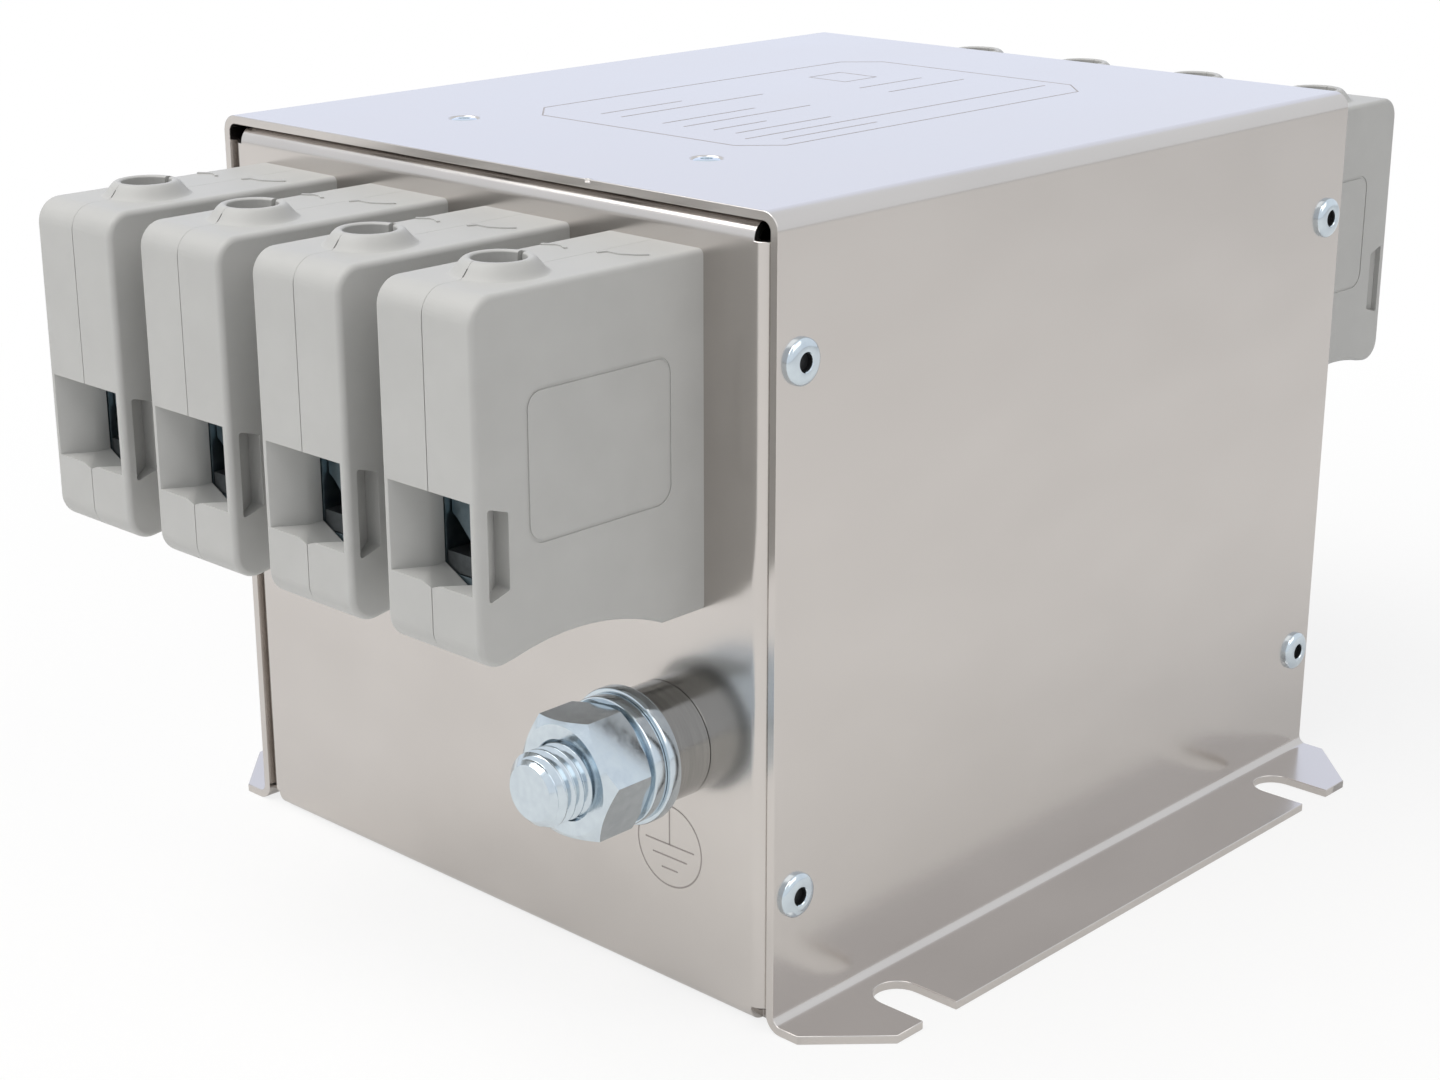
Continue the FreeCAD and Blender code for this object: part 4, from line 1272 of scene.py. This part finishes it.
def rivet_tree():
    """A piece drawn along +Z is set on four corners of each side of the case."""
    sockets = [("Half length", "Float"), ("Low", "Float"), ("High", "Float"), ("Side", "Float")]
    sockets.append(("Material", "Material"))
    tree, source = geometry_tree("side_rivets", sockets)
    value = source.outputs
    length = add(tree, "ShaderNodeMath", {"operation": "MULTIPLY", 1: 2.0}, {0: value["Half length"]})
    height = add(tree, "ShaderNodeMath", {"operation": "SUBTRACT"}, {0: value["High"], 1: value["Low"]})
    middle = add(
        tree,
        "ShaderNodeMath",
        {"operation": "MULTIPLY_ADD", 1: 0.5},
        {0: height.outputs[0], 2: value["Low"]},
    )
    grid = add(
        tree,
        "GeometryNodeMeshGrid",
        {"Vertices X": 2, "Vertices Y": 2},
        {"Size X": height.outputs[0], "Size Y": length.outputs[0]},
    )
    placed = add(
        tree,
        "GeometryNodeInstanceOnPoints",
        links={"Points": grid.outputs["Mesh"], "Instance": value["Geometry"]},
    )
    at = add(tree, "ShaderNodeCombineXYZ", links={"X": value["Side"], "Z": middle.outputs[0]})
    right = add(
        tree,
        "GeometryNodeTransform",
        {"Rotation": (0, math.pi / 2, 0)},
        {"Geometry": placed.outputs[0], "Translation": at.outputs[0]},
    )
    left = add(tree, "GeometryNodeTransform", {"Rotation": (0, 0, math.pi)}, {"Geometry": right.outputs[0]})
    pair = add(tree, "GeometryNodeJoinGeometry")
    tree.links.new(left.outputs[0], pair.inputs[0])
    tree.links.new(right.outputs[0], pair.inputs[0])
    close_tree(tree, source, pair.outputs[0])
    return tree


# %% Side rivets and flush rivets
def head_profile(radius, height, hollow):
    """Half section of a domed head, from its hollow's floor over the lip to its rim."""
    rim, lip = 0.38, 0.4
    profile = [(0, 0.05), (hollow, 0.05), (hollow, height - 0.22), (hollow + 0.12, height - 0.05)]
    for step in range(11):
        angle = math.pi / 2 * step / 10
        across = hollow + lip + (radius - hollow - lip) * math.sin(angle)
        profile.append((across, rim + (height - rim) * math.cos(angle)))
    profile += [(radius, 0.0), (0, 0.0)]
    return profile


def side_rivets(name, profile, material):
    """One piece, drawn along +Z, at all eight places."""
    values = {
        "Half length": RIVET_AHEAD,
        "Low": RIVET_LOW,
        "High": RIVET_HIGH,
        "Side": case_side,
        "Material": material,
    }
    piece = as_object(turned(profile, 48), name)
    return finished(grown(piece, rivet_tree(), values), material)


# The stump and the lining of the hollow are painted near black as shade.
stump = [(0, 0.02), (RIVET_HOLLOW, 0.02), (RIVET_HOLLOW, 0.85), (RIVET_HOLLOW - 0.05, 0.85)]
stump += [(RIVET_HOLLOW - 0.1, 0.2), (0.9, 0.14), (0.6, 0.22), (0, 0.24)]
side_rivets("side_rivets", head_profile(RIVET_RADIUS, RIVET_HEIGHT, RIVET_HOLLOW), zinc)
side_rivets("rivet_stumps", stump, rivet_shade_black)
seat = case_top - 0.7
flush = [(0, seat), (FLUSH_RADIUS - 0.45, seat), (FLUSH_RADIUS - 0.45, case_top - 0.4)]
flush += [(FLUSH_RADIUS - 0.7, case_top - 0.16), (1.5, case_top - 0.02), (1.15, case_top)]
flush += [(0.95, case_top - 0.1), (0.9, case_top - 0.5), (0, case_top - 0.5)]
bm = bmesh.new()
for x, y in FLUSH_RIVETS:
    piece = turned(flush, 64)
    bmesh.ops.translate(piece, verts=piece.verts, vec=(x, y, 0))
    spare = bpy.data.meshes.new("flush")
    piece.to_mesh(spare)
    piece.free()
    bm.from_mesh(spare)
    bpy.data.meshes.remove(spare)
finished(as_object(bm, "flush_rivets"), zinc)

# %% [markdown]
# ## Floor, light and camera
# A white studio: the world is white to the camera and nearly white in the metal, but lights the
# object at a plain level. The floor turns white away from the case and keeps its shadow near it. The
# camera stands where the photograph's did.

# %% Studio
WORLD_LIGHT = 0.37
FLOOR_RADIUS = 4.0
FLOOR_MIRRORED = 0.3
FLOOR_NEAR = 0.1
FLOOR_FAR = 0.42
FLOOR_NEAR_SHARE = 0.8


def rays(tree):
    """Where the camera looks, and where metal or glass looks, as two outputs of 0 or 1."""
    path = add(tree, "ShaderNodeLightPath")
    mirrored = add(
        tree,
        "ShaderNodeMath",
        {"operation": "MAXIMUM"},
        {0: path.outputs["Is Glossy Ray"], 1: path.outputs["Is Transmission Ray"]},
    )
    return path.outputs["Is Camera Ray"], mirrored.outputs[0]


def studio_world():
    """White to the camera, nearly white in reflections, and plain light elsewhere."""
    world = bpy.data.worlds.new("studio")
    scene.world = world
    world.use_nodes = True
    tree = world.node_tree
    tree.nodes.clear()
    seen, mirrored = rays(tree)
    lighting = add(tree, "ShaderNodeBackground", {"Color": colour("#F6F8FB"), "Strength": WORLD_LIGHT})
    backdrop = add(tree, "ShaderNodeBackground", {"Color": colour("#F6FAFF"), "Strength": 1.0})
    white = add(tree, "ShaderNodeBackground", {"Color": colour("#FFFFFF"), "Strength": 1.0})
    lit, mirror, shown = lighting.outputs[0], backdrop.outputs[0], white.outputs[0]
    in_metal = add(tree, "ShaderNodeMixShader", links={0: mirrored, 1: lit, 2: mirror})
    mixed = add(tree, "ShaderNodeMixShader", links={0: seen, 1: in_metal.outputs[0], 2: shown})
    add(tree, "ShaderNodeOutputWorld", links={"Surface": mixed.outputs[0]})


def softbox(name, place, aim, size, power, tint):
    """A rectangular lamp that faces a point."""
    lamp = bpy.data.lights.new(name, "AREA")
    lamp.shape = "RECTANGLE"
    lamp.size, lamp.size_y = size
    lamp.energy = power
    lamp.color = colour(tint)[:3]
    holder = bpy.data.objects.new(name, lamp)
    holder.location = place
    holder.rotation_euler = (Vector(aim) - Vector(place)).to_track_quat("-Z", "Y").to_euler()
    holder.visible_camera = False
    scene.collection.objects.link(holder)


def pale_floor():
    """A broad round floor: white to the camera away from the case, with its shadow near it."""
    bm = bmesh.new()
    bmesh.ops.create_circle(bm, cap_ends=True, segments=96, radius=FLOOR_RADIUS)
    mesh = bpy.data.meshes.new("floor")
    bm.to_mesh(mesh)
    bm.free()
    floor = bpy.data.objects.new("floor", mesh)
    scene.collection.objects.link(floor)
    material, tree, shader, place = new_material("pale_floor", "#F7F7F6", 0.0, 0.9)
    seen, mirrored = rays(tree)
    away = add(tree, "ShaderNodeVectorMath", {"operation": "LENGTH"}, {0: place})
    share = add(
        tree,
        "ShaderNodeMapRange",
        {
            "interpolation_type": "SMOOTHSTEP",
            "From Min": FLOOR_NEAR,
            "From Max": FLOOR_FAR,
            "To Min": FLOOR_NEAR_SHARE,
            "To Max": 1.0,
        },
        {"Value": away.outputs["Value"]},
    )
    to_camera = add(tree, "ShaderNodeMath", {"operation": "MULTIPLY"}, {0: seen, 1: share.outputs[0]})
    factor = add(
        tree,
        "ShaderNodeMath",
        {"operation": "MULTIPLY_ADD", 1: FLOOR_MIRRORED},
        {0: mirrored, 2: to_camera.outputs[0]},
    )
    glow = add(tree, "ShaderNodeEmission", {"Color": colour("#FFFFFF"), "Strength": 1.0})
    mixed = add(
        tree,
        "ShaderNodeMixShader",
        links={0: factor.outputs[0], 1: shader.outputs[0], 2: glow.outputs[0]},
    )
    tree.links.new(mixed.outputs[0], tree.nodes["Material Output"].inputs["Surface"])
    floor.data.materials.append(material)


studio_world()
pale_floor()
softbox("key", (-0.45, -0.8, 1.6), (0, 0, 0.06), (1.5, 1.5), 26, "#FFFDFA")
softbox("fill", (1.2, 0.1, 1.25), (0, 0, 0.06), (1.2, 1.2), 5.5, "#FFFBF6")
softbox("rear_box", (-1.15, 1.25, 0.75), (0, 0, 0.2), (2.2, 1.3), 2, "#90ACFF")

# %% Camera
CAMERA_PLACE = (0.301333, -0.340642, 0.199414)
CAMERA_TURN = 43.3116
CAMERA_DROP = 18.4494
SENSOR_WIDTH = 36.0
LENS = 63.507


def photograph_camera():
    """The camera at the photograph's place, aimed by its turn and its drop below level."""
    data = bpy.data.cameras.new("camera")
    data.sensor_fit = "HORIZONTAL"
    data.sensor_width = SENSOR_WIDTH
    data.lens = LENS
    camera = bpy.data.objects.new("camera", data)
    scene.collection.objects.link(camera)
    turn, drop = math.radians(CAMERA_TURN), math.radians(CAMERA_DROP)
    aim = Vector((-math.sin(turn) * math.cos(drop), math.cos(turn) * math.cos(drop), -math.sin(drop)))
    camera.location = CAMERA_PLACE
    camera.rotation_euler = aim.to_track_quat("-Z", "Y").to_euler()
    data.clip_start = 0.01
    scene.camera = camera


photograph_camera()
scene.view_settings.view_transform = "Standard"
print("camera at", CAMERA_PLACE, "with a lens of", LENS, "mm")
